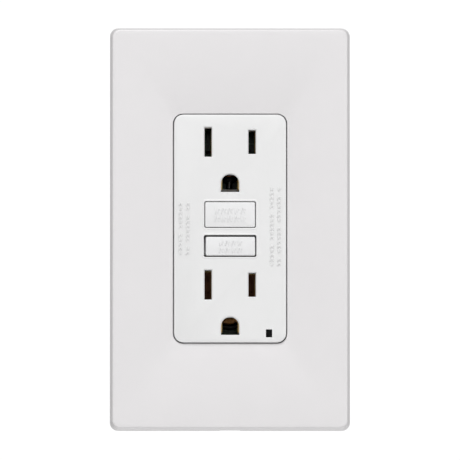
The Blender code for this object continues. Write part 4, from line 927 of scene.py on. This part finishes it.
@dataclass
class ScrewlessPlate:
    """Wall plate with a rolled rim, its four inner snaps and the pry notch."""

    wall: float = 1.7 * MM
    draft: float = 0.8 * MM
    corner: float = 2.4 * MM
    edge: float = 0.55 * MM
    roll: float = 3.0 * MM
    roll_drop: float = 0.10 * MM
    window_width: float = 33.0 * MM
    window_height: float = 66.5 * MM
    window_corner: float = 2.9 * MM
    window_edge: float = 0.18 * MM
    notch_width: float = 6.0 * MM

    def outline(self, low: Vector, high: Vector) -> list[list[Vector]]:
        """Return the loops from the back rim over the front to the window and back inside."""
        width, height = high.x - low.x, high.z - low.z
        front = low.y
        depth = high.y - front
        loops = [rounded_loop(width, height, self.corner, high.y)]
        slope = self.draft / depth

        def side(inset: float, y: float, corner: float) -> list[Vector]:
            """Return an outer loop that is inset from the widest outline."""
            return rounded_loop(width - 2 * inset, height - 2 * inset, corner, y)

        crest = front + self.edge + self.roll_drop
        loops.append(side(slope * (high.y - crest), crest, self.corner))
        wall_inset = slope * (high.y - crest)
        for step in range(1, 5):
            angle = math.pi / 2 * step / 4
            inset = wall_inset + self.edge * (1 - math.cos(angle))
            loops.append(side(inset, crest - self.edge * math.sin(angle), self.corner - self.edge * 0.4))
        edge_inset = wall_inset + self.edge
        for step in range(1, 5):
            share = step / 4
            y = front + self.roll_drop * (1 - math.sin(math.pi / 2 * share))
            loops.append(side(edge_inset + self.roll * share, y, self.corner))
        ease = self.window_edge
        loops.append(rounded_loop(self.window_width + 2 * ease, self.window_height + 2 * ease,
                                  self.window_corner + ease, front))
        loops.append(rounded_loop(self.window_width + 0.6 * ease, self.window_height + 0.6 * ease,
                                  self.window_corner + 0.3 * ease, front + 0.3 * ease))
        loops.append(rounded_loop(self.window_width, self.window_height, self.window_corner, front + ease))
        inner = front + self.wall
        loops.append(rounded_loop(self.window_width, self.window_height, self.window_corner, inner))
        inner_width, inner_height = width - 2 * self.wall, height - 2 * self.wall
        loops.append(rounded_loop(inner_width - 2 * self.draft, inner_height - 2 * self.draft,
                                  0.9 * MM, inner))
        loops.append(rounded_loop(inner_width, inner_height, self.corner / 2, high.y))
        return loops

    def make(self) -> None:
        """Build the plate."""
        low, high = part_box("wall_plate")
        shell = skin(self.outline(low, high), ring=True)
        bmesh.ops.recalc_face_normals(shell, faces=shell.faces)
        notch = bar((self.notch_width, 2 * MM, 4 * self.wall), Vector((0, 0, low.z)), 0.3 * MM)
        Bench.fit("plate_shell", carved(shell, [notch]), Slot.PLATE, nodes=("wall_plate",), smooth=30.0)
        inner = low.y + self.wall
        snaps = []
        for side in (-1, 1):
            for end in (-1, 1):
                z = end * (high.z - self.wall - 0.55 * MM)
                snaps.append(bar((5.8 * MM, -inner - 1.0 * MM, 1.6 * MM),
                                 Vector((side * 20 * MM, inner / 2 - 0.5 * MM, z)), 0.25 * MM))
                snaps.append(bar((5.4 * MM, 0.8 * MM, 0.5 * MM),
                                 Vector((side * 20 * MM, -1.5 * MM, z - end * 0.85 * MM)), 0.2 * MM))
        Bench.fit("plate_snaps", gathered(snaps), Slot.PLATE)


@dataclass
class SubPlate:
    """Moulded carrier behind the wall plate, with its ribs and flat-head screws."""

    rib: float = 0.8 * MM
    screw_head: float = 2.9 * MM
    head_thick: float = 1.2 * MM

    def make(self) -> None:
        """Build the carrier, its ribs and its screws."""
        Bench.eased("sub_plate", Slot.SUB_PLATE, 0.15)
        low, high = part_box("sub_plate")
        back = low.y + 1.2 * MM
        ribs = []
        for side in (-1, 1):
            for x in (24.5, 28.0):
                ribs.append(bar((self.rib, 2.2 * MM, high.z * 2 - 8 * MM),
                                Vector((side * x * MM, back + 1.0 * MM, 0)), 0.2 * MM))
            for z in (-40, -24, -8, 8, 24, 40):
                ribs.append(bar((7.5 * MM, 1.4 * MM, self.rib),
                                Vector((side * 26.3 * MM, back + 0.6 * MM, z * MM)), 0.2 * MM))
        Bench.fit("sub_plate_ribs", gathered(ribs), Slot.SUB_PLATE)
        for end in ("top", "bottom"):
            Screw(f"sub_plate_screw_{end}", Facing.ROOM, Slot.ZINC, self.screw_head, self.head_thick,
                  1.7 * MM, flat_head=True, recess=0.6 * MM).make()


@dataclass
class Legend:
    """Raised generic marks that stand where wording would be: slanted bars in rows."""

    stroke: float = 0.32 * MM
    height: float = 0.28 * MM

    def mark(self, x: float, front: float, z: float, tall: float, lean: float) -> list[bmesh.types.BMesh]:
        """Return one mark of two slanted bars and a short level one.

        Args:
            x: middle of the mark along X.
            front: the surface that it stands on.
            z: middle of the mark along Z.
            tall: height of the mark.
            lean: slant of the bars in degrees.

        Returns:
            The bars.
        """
        reach = tall * 0.27
        bars = (((self.stroke, tall), (-reach, 0.0), lean),
                ((self.stroke, tall * 0.8), (reach * 0.5, 0.0), -lean),
                ((tall * 0.34, self.stroke), (reach, tall * 0.2), 0.0))
        parts = []
        for index, ((wide, high), (right, up), turn) in enumerate(bars):
            depth = self.height * (1 - 0.12 * index) + 0.06 * MM
            middle = Vector((x + right, front + 0.06 * MM - depth / 2, z + up))
            parts.append(bar((wide, depth, high), middle, 0.05 * MM, turn))
        return parts

    def row(self, name: str, cells: Sequence[tuple[float, float]], front: float, tall: float, slot: Slot,
            body: str, lean: float = 16.0) -> None:
        """Build a group of marks.

        Args:
            name: name of the piece.
            cells: X and Z of each mark.
            front: the surface that they stand on.
            tall: height of a mark.
            slot: material slot.
            body: the body that it rides on.
            lean: slant of the bars in degrees.
        """
        bars = []
        for index, (x, z) in enumerate(cells):
            bars += self.mark(x, front, z, tall, lean if index % 3 else -lean * 0.4)
        Bench.fit(name, gathered(bars), slot, body)


@dataclass
class FaceCover:
    """Front face: eased openings, rims round the wells and raised side legends."""

    ease_mm: float = 0.18
    lead_in: float = 0.32 * MM
    rim_width: float = 0.55 * MM
    rim_height: float = 0.10 * MM
    well_corner: float = 0.5 * MM
    column_pitch: float = 2.1 * MM
    cell_pitch: float = 1.28 * MM

    def well_rim(self, name: str, width: float, height: float, z: float, front: float) -> None:
        """Build the low bevelled rim round a button's well.

        Args:
            name: name of the piece.
            width: size of the well along X.
            height: size of the well along Z.
            z: middle of the well.
            front: the surface that the rim stands on.
        """
        out = self.rim_width
        rise = self.rim_height
        section = ((0.0, 0.02 * MM), (0.0, -rise * 0.4), (0.12 * MM, -rise), (out - 0.2 * MM, -rise),
                   (out, -0.01 * MM), (out, 0.04 * MM))
        loops = [rounded_loop(width + 2 * grow, height + 2 * grow, self.well_corner + grow, front + y, (0, z))
                 for grow, y in section]
        Bench.fit(name, skin(loops, ring=True), Slot.FACE, smooth=50.0)

    def funnels(self, front: float) -> list[bmesh.types.BMesh]:
        """Return the cutters that flare the blade slots and the ground holes at the face."""
        flare, depth = self.lead_in, self.lead_in * 1.1
        steps = [(flare * 1.1, front - 0.1 * flare), (-0.03 * MM, front + depth)]
        tools = []
        for row in BLADE_ROWS:
            for x, tall in ((-BLADE_REACH, NEUTRAL_SLOT), (BLADE_REACH, HOT_SLOT)):
                loops = [rounded_loop(SLOT_WIDTH + 2 * grow, tall + 2 * grow, 0.1 * MM + grow * 0.5,
                                      y, (x, row)) for grow, y in steps]
                tools.append(skin(loops, caps=True))
            loops = [self.ground_loop(grow, y, row - GROUND_DROP) for grow, y in steps]
            tools.append(skin(loops, caps=True))
        return tools

    def ground_loop(self, grow: float, y: float, middle: float) -> list[Vector]:
        """Return the outline of a ground hole: an arch on a flat sill.

        Args:
            grow: how far the outline stands outside the hole.
            y: depth of the loop.
            middle: height of the arch's centre.

        Returns:
            The loop's points.
        """
        radius, sill = GROUND_RADIUS + grow, GROUND_SILL + grow
        arch = [Vector((radius * math.cos(a), y, middle + radius * math.sin(a)))
                for a in (math.pi * k / 20 for k in range(21))]
        return arch + [Vector((-radius, y, middle - sill)), Vector((radius, y, middle - sill))]

    def make(self) -> None:
        """Build the face."""
        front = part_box("front_cover")[0].y
        shape = carved(frame_shape("front_cover"), self.funnels(front))
        Bench.fit("front_cover_moulding", shape, Slot.FACE, nodes=("front_cover",), ease=self.ease_mm * MM)
        self.well_rim("reset_well_rim", 14.96 * MM, 7.76 * MM, 4.0 * MM, front)
        self.well_rim("test_well_rim", 15.26 * MM, 6.41 * MM, -5.07 * MM, front)
        legend = Legend()
        columns = (("left_legend", -14.3 * MM, -7.0, 7.2), ("right_legend", 12.1 * MM, -10.3, 11.5))
        for name, x, low, high in columns:
            cells = []
            count = int((high - low) / (self.cell_pitch / MM)) + 1
            for column in (0, 1):
                for step in range(count):
                    if (step + 3 * column) % 7 != 5:
                        z = (low + step * self.cell_pitch / MM) * MM
                        cells.append((x + column * self.column_pitch, z))
            legend.row(name, cells, front, 1.15 * MM, Slot.FACE, "root", 24.0)


@dataclass
class Buttons:
    """Reset and test buttons with raised legends, the reset pin, spring and test leaf."""

    edge_mm: float = 0.16
    wire: float = 0.2 * MM

    def legend(self, name: str, button: str, body: str, columns: int, pitch: float, tall: float) -> None:
        """Build two rows of marks on a button.

        Args:
            name: name of the piece.
            button: the button's node.
            body: the body that it rides on.
            columns: marks in each row.
            pitch: distance between marks.
            tall: height of a mark.
        """
        low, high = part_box(button)
        x, z = (low.x + high.x) / 2, (low.z + high.z) / 2
        rows = [(x + (c - (columns - 1) / 2) * pitch, z + r * tall * 0.66)
                for r in (1, -1) for c in range(columns)]
        Legend(height=0.24 * MM).row(name, rows, low.y, tall, Slot.BUTTON, body, 14.0)

    def make(self) -> None:
        """Build both button groups."""
        Bench.eased("reset_button", Slot.BUTTON, self.edge_mm, "reset", "reset_button_cap")
        Bench.eased("test_button", Slot.BUTTON, self.edge_mm, "test", "test_button_cap")
        self.legend("reset_legend", "reset_button", "reset", 5, 1.9 * MM, 1.8 * MM)
        self.legend("test_legend", "test_button", "test", 4, 1.8 * MM, 1.6 * MM)
        low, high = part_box("reset_pin")
        tall = high.y - low.y
        profile = [(0, 0), (0.6 * MM, 0), (0.8 * MM, -0.2 * MM), (0.8 * MM, 1.85 * MM - tall),
                   (1.4 * MM, 1.7 * MM - tall), (1.5 * MM, 1.6 * MM - tall), (1.5 * MM, 0.75 * MM - tall),
                   (0.8 * MM, -tall + 0.15 * MM), (0.5 * MM, -tall), (0, -tall)]
        place = Matrix.Translation(Facing.ROOM.top_of("reset_pin")) @ Facing.ROOM.turn
        Bench.fit("reset_pin_turned", gathered([lathe(profile, 32)], place), Slot.SPRING, "reset",
                  ("reset_pin",))
        Spring("reset_spring", Facing.BOX, 5, self.wire, "root", "reset_press", (0, 1, 0), (0, 0, 4 * MM),
               4.2 / 5.8).make()
        Bench.eased("test_arm", Slot.BRASS, 0.08, "test_leaf", "test_leaf_strip")


@dataclass
class Spring:
    """A compression spring of round wire with closed end turns."""

    node: str
    facing: Facing
    turns: int
    wire: float
    body: str
    joint: str
    axis: Triple
    anchor: Triple
    keep: float

    def make(self) -> None:
        """Build the spring."""
        low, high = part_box(self.node)
        size = high - low
        along = abs(size.dot(self.facing.axis))
        across = size.x if self.facing is not Facing.RIGHT else size.y
        start = self.facing.top_of(self.node) - self.facing.axis * along
        points = helix(across / 2 - self.wire, self.turns + 1.4, self.wire, along - self.wire, 0.7, 20,
                       2 * self.wire)
        place = Matrix.Translation(start) @ self.facing.turn
        piece = Bench.fit(self.node + "_wire", gathered([tube(points, self.wire, 8)], place), Slot.SPRING,
                          self.body, (self.node,), smooth=80.0)
        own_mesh(piece)


@dataclass
class Lamp:
    """Smoked light pipe with a crowned window, and the indicator behind it."""

    def make(self) -> None:
        """Build the light pipe and the indicator."""
        Bench.eased("light_pipe", Slot.LENS, 0.1, name="light_pipe_resin")
        low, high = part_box("indicator_led")
        tall, radius = high.y - low.y, (high.x - low.x) / 2
        dome = [(radius * math.sin(a), -radius * (1 - math.cos(a))) for a in (0.3, 0.6, 0.9, 1.2, 1.5)]
        profile = [(0, 0)] + dome + [(radius * 0.99, 0.5 * MM - tall), (radius, 0.45 * MM - tall),
                                     (radius, -tall), (0, -tall)]
        place = Matrix.Translation(Facing.ROOM.top_of("indicator_led")) @ Facing.ROOM.turn
        Bench.fit("indicator_dome", gathered([lathe(profile, 28)], place), Slot.LED, nodes=("indicator_led",))


@dataclass
class Strap:
    """Steel mounting strap, ground clips, box screws with retainers and the ground screw."""

    def make(self) -> None:
        """Build the strap and what is fixed to it."""
        Bench.eased("mounting_strap", Slot.ZINC, 0.12, name="strap_stamping")
        for end, row in zip(("upper", "lower"), BLADE_ROWS):
            node = f"ground_contact_{end}"
            middle = Vector((0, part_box(node)[1].y, row - GROUND_DROP))
            punch = bar((4.4 * MM, 5 * MM, 4.8 * MM), middle, 0.6 * MM)
            shape = carved(frame_shape(node), [punch])
            Bench.fit(node + "_clip", shape, Slot.BRASS, nodes=(node,), ease=0.08 * MM)
        for end in ("top", "bottom"):
            Screw(f"box_screw_{end}", Facing.ROOM, Slot.ZINC, 3.3 * MM, 1.5 * MM, 1.75 * MM).make()
            Bench.eased(f"screw_retainer_{end}", Slot.FIBRE, 0.12)
        Screw("ground_screw", Facing.LEFT, Slot.GREEN, 3.4 * MM, 2.2 * MM, 1.7 * MM, hexagon=2.89 * MM,
              body="ground_screw", cross_turn=math.pi / 2).make()


@dataclass
class Housings:
    """Middle and rear housings with ribs, mould marks and the screws that hold them."""

    rib: float = 0.7 * MM
    border_width: float = 26.0 * MM
    border_height: float = 34.0 * MM

    def side_ribs(self) -> None:
        """Build the grip ribs on the middle housing's sides."""
        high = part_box("middle_housing")[1]
        ribs = []
        for side in (-1, 1):
            for step in range(-7, 8):
                ribs.append(bar((0.24 * MM, 5.2 * MM, self.rib),
                                Vector((side * (high.x + 0.02 * MM), 6.4 * MM, step * 2.0 * MM)), 0.1 * MM))
            ribs.append(bar((0.24 * MM, 0.5 * MM, 2 * high.z - 8 * MM),
                            Vector((side * (high.x + 0.02 * MM), 10.6 * MM, 0)), 0.1 * MM))
        Bench.fit("middle_housing_ribs", gathered(ribs), Slot.HOUSING)

    def back_relief(self) -> None:
        """Build the raised border, ejector marks and generic marks on the rear housing's back."""
        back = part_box("rear_housing")[1].y
        rise = 0.22 * MM
        shapes = []
        border = ((0.0, 2.0, -0.05 * MM), (0.0, 2.0, rise * 0.6), (0.3, 1.8, rise), (1.1, 1.4, rise),
                  (1.4, 1.3, -0.05 * MM))
        width, height = self.border_width, self.border_height
        loops = [rounded_loop(width - inset * MM, height - inset * MM, corner * MM, back + y)
                 for inset, corner, y in border]
        shapes.append(skin(loops, ring=True))
        for x, z in ((-9, 24.5), (9, 24.5), (-9, -24.5), (9, -24.5)):
            ring = [(1.9 * MM, -0.05 * MM), (1.9 * MM, 0.1 * MM), (1.7 * MM, 0.15 * MM), (1.5 * MM, 0.1 * MM),
                    (1.5 * MM, -0.05 * MM)]
            place = Matrix.Translation(Vector((x * MM, back, z * MM))) @ Facing.BOX.turn
            shapes.append(gathered([lathe(ring, 36)], place))
        for row in range(6):
            for step in range(8 - row % 3):
                size = (1.5 * MM if (row + step) % 3 else 0.8 * MM, 0.3 * MM, 0.45 * MM)
                middle = Vector(((step * 2.4 - 8.4) * MM, back, (10.0 - 3.6 * row) * MM))
                shapes.append(bar(size, middle, 0.08 * MM))
        for end in (-1, 1):
            for side in (-1, 1):
                middle = Vector((side * 15.6 * MM, back, end * 22 * MM))
                shapes.append(bar((0.5 * MM, 0.3 * MM, 6.0 * MM), middle, 0.1 * MM))
        Bench.fit("rear_housing_relief", gathered(shapes), Slot.GREY)

    def make(self) -> None:
        """Build both housings."""
        Bench.eased("middle_housing", Slot.HOUSING, 0.2)
        Bench.eased("rear_housing", Slot.GREY, 0.2)
        self.side_ribs()
        self.back_relief()
        for end in ("top", "bottom"):
            for side in ("left", "right"):
                Screw(f"housing_screw_{end}_{side}", Facing.BOX, Slot.ZINC, 2.1 * MM, 1.5 * MM, 1.25 * MM,
                      pitch=1.1 * MM, crown=0.35 * MM, drive=Drive.COMBINATION, recess=0.6 * MM,
                      recess_width=0.7 * MM).make()


@dataclass
class Terminals:
    """Four side terminals: plate, pressure clamp with serrations and binding screw."""

    groove: float = 0.35 * MM

    def serrations(self, base: str, side: int, slot: Slot) -> None:
        """Build the gripping ridges along the clamp's outer face.

        Args:
            base: the terminal's name.
            side: 1 on the right and -1 on the left.
            slot: material slot.
        """
        low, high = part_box(base + "_clamp")
        x = high.x if side > 0 else low.x
        z = (low.z + high.z) / 2
        ridges = []
        for end in (-1, 1):
            for step in range(2):
                middle = Vector((x, (low.y + high.y) / 2, z + end * (4.1 + 0.55 * step) * MM))
                ridges.append(bar((0.16 * MM, high.y - low.y - 0.6 * MM, self.groove), middle, 0.07 * MM))
        Bench.fit(base + "_serrations", gathered(ridges), slot, base + "_clamp")

    def make(self) -> None:
        """Build the four terminals."""
        for end in ("load", "line"):
            for pole, side, slot in (("neutral", -1, Slot.NICKEL), ("hot", 1, Slot.BRASS)):
                base = f"{end}_{pole}"
                Bench.eased(base + "_terminal", slot, 0.1)
                Bench.eased(base + "_clamp", slot, 0.15, base + "_clamp", base + "_pressure_plate")
                self.serrations(base, side, slot)
                Screw(base + "_screw", Facing.RIGHT if side > 0 else Facing.LEFT, slot, 3.8 * MM, 1.8 * MM,
                      1.9 * MM, pitch=0.85 * MM, drive=Drive.COMBINATION, body=base + "_screw",
                      cross_turn=math.pi / 2).make()


@dataclass
class Contacts:
    """Bus bars with blade grips, moving arms and the conductors through the coils."""

    punch_width: float = 1.9 * MM
    punch_length: float = 3.0 * MM
    punch_y: float = 9.4 * MM

    def make(self) -> None:
        """Build the live parts."""
        for pole, x, tall in (("hot", BLADE_REACH, HOT_SLOT), ("neutral", -BLADE_REACH, NEUTRAL_SLOT)):
            size = (self.punch_width, self.punch_length, tall)
            punches = [bar(size, Vector((x, self.punch_y, row))) for row in BLADE_ROWS]
            shape = carved(frame_shape(f"{pole}_face_contact"), punches)
            Bench.fit(f"{pole}_face_contact_punched", shape, Slot.BRASS, nodes=(f"{pole}_face_contact",))
            Bench.eased(f"{pole}_contact_arm", Slot.COPPER, 0.08, f"{pole}_arm")
            Bench.eased(f"line_conductor_{pole}", Slot.COPPER, 0.1)


@dataclass
class TripWorks:
    """Circuit board, sensing coils, solenoid and latch."""

    wire: float = 0.15 * MM

    def toroid(self, node: str, turns: int, finish: Enamel) -> None:
        """Build a wound ring in place of a coil node.

        Args:
            node: the coil's node.
            turns: ridges of wire round the ring.
            finish: the wire's lacquer.
        """
        low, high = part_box(node)
        middle = (low + high) / 2
        outer, tall, inner = (high.x - low.x) / 2, high.y - low.y, 4.3 * MM
        steps = turns * 4
        loops = []
        for k in range(steps):
            swell = 0.1 * MM * (1 - abs(math.sin(math.pi * k / 4)))
            angle = 2 * math.pi * k / steps
            ax, az = math.cos(angle), math.sin(angle)
            loop = []
            for point in rounded_loop(outer - inner - 2 * swell, tall - 2 * swell, 0.6 * MM, 0.0, steps=3):
                radius = (outer + inner) / 2 + point.x
                loop.append(middle + Vector((radius * ax, point.z, radius * az)))
            loops.append(loop)
        Bench.fit(node + "_wound", skin(loops, ring=True), Slot.COPPER, nodes=(node,), finish=finish,
                  smooth=60.0)

    def solenoid(self) -> None:
        """Build the bobbin, its winding, the plunger and its spring."""
        Bench.eased("solenoid_bobbin", Slot.DARK, 0.12)
        low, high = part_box("solenoid_winding")
        middle = (low + high) / 2
        outer, inner, half = (high.x - low.x) / 2, 2.9 * MM, (high.z - low.z) / 2
        bed = outer - 1.6 * self.wire
        core = [(inner, -half), (inner, half), (bed, half), (bed, -half)]
        turns = int((2 * half - 2 * self.wire) / (2 * self.wire))
        line = helix(outer - self.wire, turns, self.wire - half, half - self.wire)
        shape = gathered([lathe(core), tube(line, self.wire * 1.02, 6)], Matrix.Translation(middle))
        Bench.fit("solenoid_turns", shape, Slot.COPPER, nodes=("solenoid_winding",), finish=WINDING,
                  smooth=80.0)
        Bench.eased("plunger", Slot.ZINC, 0.12, "plunger", "plunger_turned")
        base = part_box("plunger_spring")[0].z
        Spring("plunger_spring", Facing.TOP, 3, 0.2 * MM, "root", "plunger_stroke", (0, 0, 1),
               (0, 17.6 * MM, base), 0.4).make()

    def board(self) -> None:
        """Build the board, its solder joints, small chips and the parts that stand on it."""
        Bench.eased("circuit_board", Slot.BOARD, 0.12, name="board_laminate")
        front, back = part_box("circuit_board")[0].y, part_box("circuit_board")[1].y
        joints = []
        for x in (-13, -10, -7, -4, 4, 7, 10, 13):
            for z in (-29, -9, 1, 15, 23):
                cone = [(0, 0.35 * MM), (0.25 * MM, 0.3 * MM), (0.45 * MM, 0.08 * MM), (0.8 * MM, -0.02 * MM),
                        (0, -0.02 * MM)]
                place = Matrix.Translation(Vector((x * MM, back, z * MM))) @ Facing.BOX.turn
                joints.append(gathered([lathe(cone, 14)], place))
        Bench.fit("board_solder_joints", gathered(joints), Slot.NICKEL, finish=SOLDER)
        chips = []
        for x, z in ((-12.5, 3), (-12.5, 0.5), (-8.5, 2.0), (11.5, 4.5), (12.5, -2), (7.8, 4.8), (-6.0, 23.5),
                     (5.5, 24.0)):
            middle = Vector((x * MM, front - 0.29 * MM, z * MM))
            chips.append(bar((1.6 * MM, 0.6 * MM, 0.8 * MM), middle, 0.08 * MM))
        Bench.fit("board_small_chips", gathered(chips), Slot.DARK)
        Bench.eased("controller_chip", Slot.DARK, 0.12)
        low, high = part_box("controller_chip")
        legs = []
        for side in (-1, 1):
            for step in range(4):
                z = low.z + (high.z - low.z) * (step + 0.5) / 4
                edge = high.x if side > 0 else low.x
                legs.append(bar((1.0 * MM, 0.22 * MM, 0.42 * MM),
                                Vector((edge + side * 0.45 * MM, high.y + 0.12 * MM, z)), 0.06 * MM))
        Bench.fit("controller_chip_legs", gathered(legs), Slot.NICKEL)
        self.capacitor()
        Bench.eased("surge_disc", Slot.DISC, 0.5, name="surge_disc_dipped")
        Bench.eased("test_resistor", Slot.RESISTOR, 0.1, name="test_resistor_body")

    def capacitor(self) -> None:
        """Build the can with its rolled groove, sleeve edge and scored vent."""
        low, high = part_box("capacitor")
        tall, radius = high.y - low.y, (high.x - low.x) / 2
        profile = [(0, -0.12 * MM), (radius - 0.75 * MM, -0.12 * MM), (radius - 0.7 * MM, 0),
                   (radius - 0.3 * MM, 0), (radius, -0.3 * MM), (radius, 1.6 * MM - tall),
                   (radius - 0.3 * MM, 1.35 * MM - tall), (radius - 0.3 * MM, 1.15 * MM - tall),
                   (radius, 0.9 * MM - tall), (radius, 0.2 * MM - tall), (radius - 0.2 * MM, -tall),
                   (0, -tall)]
        place = Matrix.Translation(Facing.ROOM.top_of("capacitor")) @ Facing.ROOM.turn
        Bench.fit("capacitor_can", gathered([lathe(profile)], place), Slot.DARK, nodes=("capacitor",))

    def make(self) -> None:
        """Build the trip works."""
        self.board()
        Bench.eased("coil_housing", Slot.DARK, 0.12)
        self.toroid("sense_coil", 44, FINE_WINDING)
        self.toroid("neutral_coil", 36, WINDING)
        self.solenoid()
        Bench.eased("latch_carriage", Slot.HOUSING, 0.12, "carriage")
        Bench.eased("latch_plate", Slot.ZINC, 0.08, "latch", "latch_plate_stamping")
        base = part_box("latch_spring")[0].z
        Spring("latch_spring", Facing.TOP, 3, self.wire, "carriage", "latch_slide", (0, 0, 1),
               (0, 15.5 * MM, base), 0.27).make()


@dataclass
class Studio:
    """Pale floor, white surroundings, soft lights and the camera."""

    frame_width: float = 133.06 * MM
    distance: float = 2.5
    rise: float = -2.4
    swing: float = -0.5
    floor_drop: float = 0.42
    ambient: float = 0.42
    backdrop: float = 1.05
    floor_size: float = 9.0
    aim_z: float = -0.3 * MM
    sensor: float = 36.0

    def surroundings(self) -> None:
        """Set a white world whose light on the object is softer than its look."""
        world = bpy.data.worlds.new("studio_white")
        bpy.context.scene.world = world
        world.use_nodes = True
        tree = world.node_tree
        tree.nodes["Background"].inputs["Color"].default_value = (1.0, 1.0, 1.0, 1.0)
        tree.nodes["Background"].inputs["Strength"].default_value = self.ambient
        bright = tree.nodes.new("ShaderNodeBackground")
        bright.inputs["Color"].default_value = (1.0, 1.0, 1.0, 1.0)
        bright.inputs["Strength"].default_value = self.backdrop
        seen = tree.nodes.new("ShaderNodeLightPath")
        mix = tree.nodes.new("ShaderNodeMixShader")
        tree.links.new(seen.outputs["Is Camera Ray"], mix.inputs[0])
        tree.links.new(tree.nodes["Background"].outputs[0], mix.inputs[1])
        tree.links.new(bright.outputs[0], mix.inputs[2])
        tree.links.new(mix.outputs[0], tree.nodes["World Output"].inputs["Surface"])

    def lamp(self, name: str, place: Vector, size: float, power: float, mirrored: bool = True) -> None:
        """Add a square area light that points at the object.

        Args:
            name: name of the light.
            place: where it stands.
            size: length of its sides.
            power: its power in watts.
            mirrored: whether glossy surfaces show it.
        """
        data = bpy.data.lights.new(name, "AREA")
        data.size = size
        data.energy = power
        item = bpy.data.objects.new(name, data)
        item.location = place
        item.rotation_euler = (-place).to_track_quat("-Z", "Y").to_euler()
        item.visible_glossy = mirrored
        bpy.context.scene.collection.objects.link(item)

    def floor(self) -> None:
        """Add the pale floor well below the object."""
        loop = rounded_loop(self.floor_size, self.floor_size, 1.0, 0.0)
        bm = bmesh.new()
        bm.faces.new([bm.verts.new((p.x, p.z, -self.floor_drop)) for p in loop])
        mesh = bpy.data.meshes.new("studio_floor")
        bm.to_mesh(mesh)
        bm.free()
        mesh.materials.append(Moulding("floor_pale", (0.86, 0.86, 0.86), 0.7).make())
        item = bpy.data.objects.new("studio_floor", mesh)
        bpy.context.scene.collection.objects.link(item)

    def camera(self) -> None:
        """Add the camera straight in front, a little below the middle."""
        data = bpy.data.cameras.new("front_camera")
        data.sensor_width = self.sensor
        data.lens = self.sensor * self.distance / self.frame_width
        data.clip_end = 50.0
        item = bpy.data.objects.new("front_camera", data)
        middle = Vector((0.0, CAD_BOX[0][1] * 0.5, self.aim_z))
        rise, swing = math.radians(self.rise), math.radians(self.swing)
        away = Vector((math.sin(swing) * math.cos(rise), -math.cos(swing) * math.cos(rise), math.sin(rise)))
        item.location = middle + away * self.distance
        item.rotation_euler = (middle - item.location).to_track_quat("-Z", "Y").to_euler()
        bpy.context.scene.collection.objects.link(item)
        bpy.context.scene.camera = item

    def make(self) -> None:
        """Build the studio."""
        self.surroundings()
        self.floor()
        self.camera()
        self.lamp("key_light", Vector((-0.35, -1.3, 1.6)), 0.9, 26.0)
        self.lamp("fill_light", Vector((1.6, -1.8, 0.2)), 1.4, 9.0)
        self.lamp("back_light", Vector((0.8, 1.8, 1.2)), 1.4, 16.0, mirrored=False)
        view = bpy.context.scene.view_settings
        view.view_transform = "Standard"
        view.look = "None"


def main() -> None:
    """Build every sub-assembly in order."""
    logging.basicConfig(level=logging.INFO, format="%(name)s: %(message)s")
    Studio().make()
    for assembly in (ScrewlessPlate(), SubPlate(), FaceCover(), Buttons(), Lamp(), Strap(), Housings(),
                     Terminals(), Contacts(), TripWorks()):
        assembly.make()
        LOG.info("%s built", type(assembly).__name__)
    LOG.info("%d pieces in all", Bench.made)


if __name__ == "__main__":
    main()
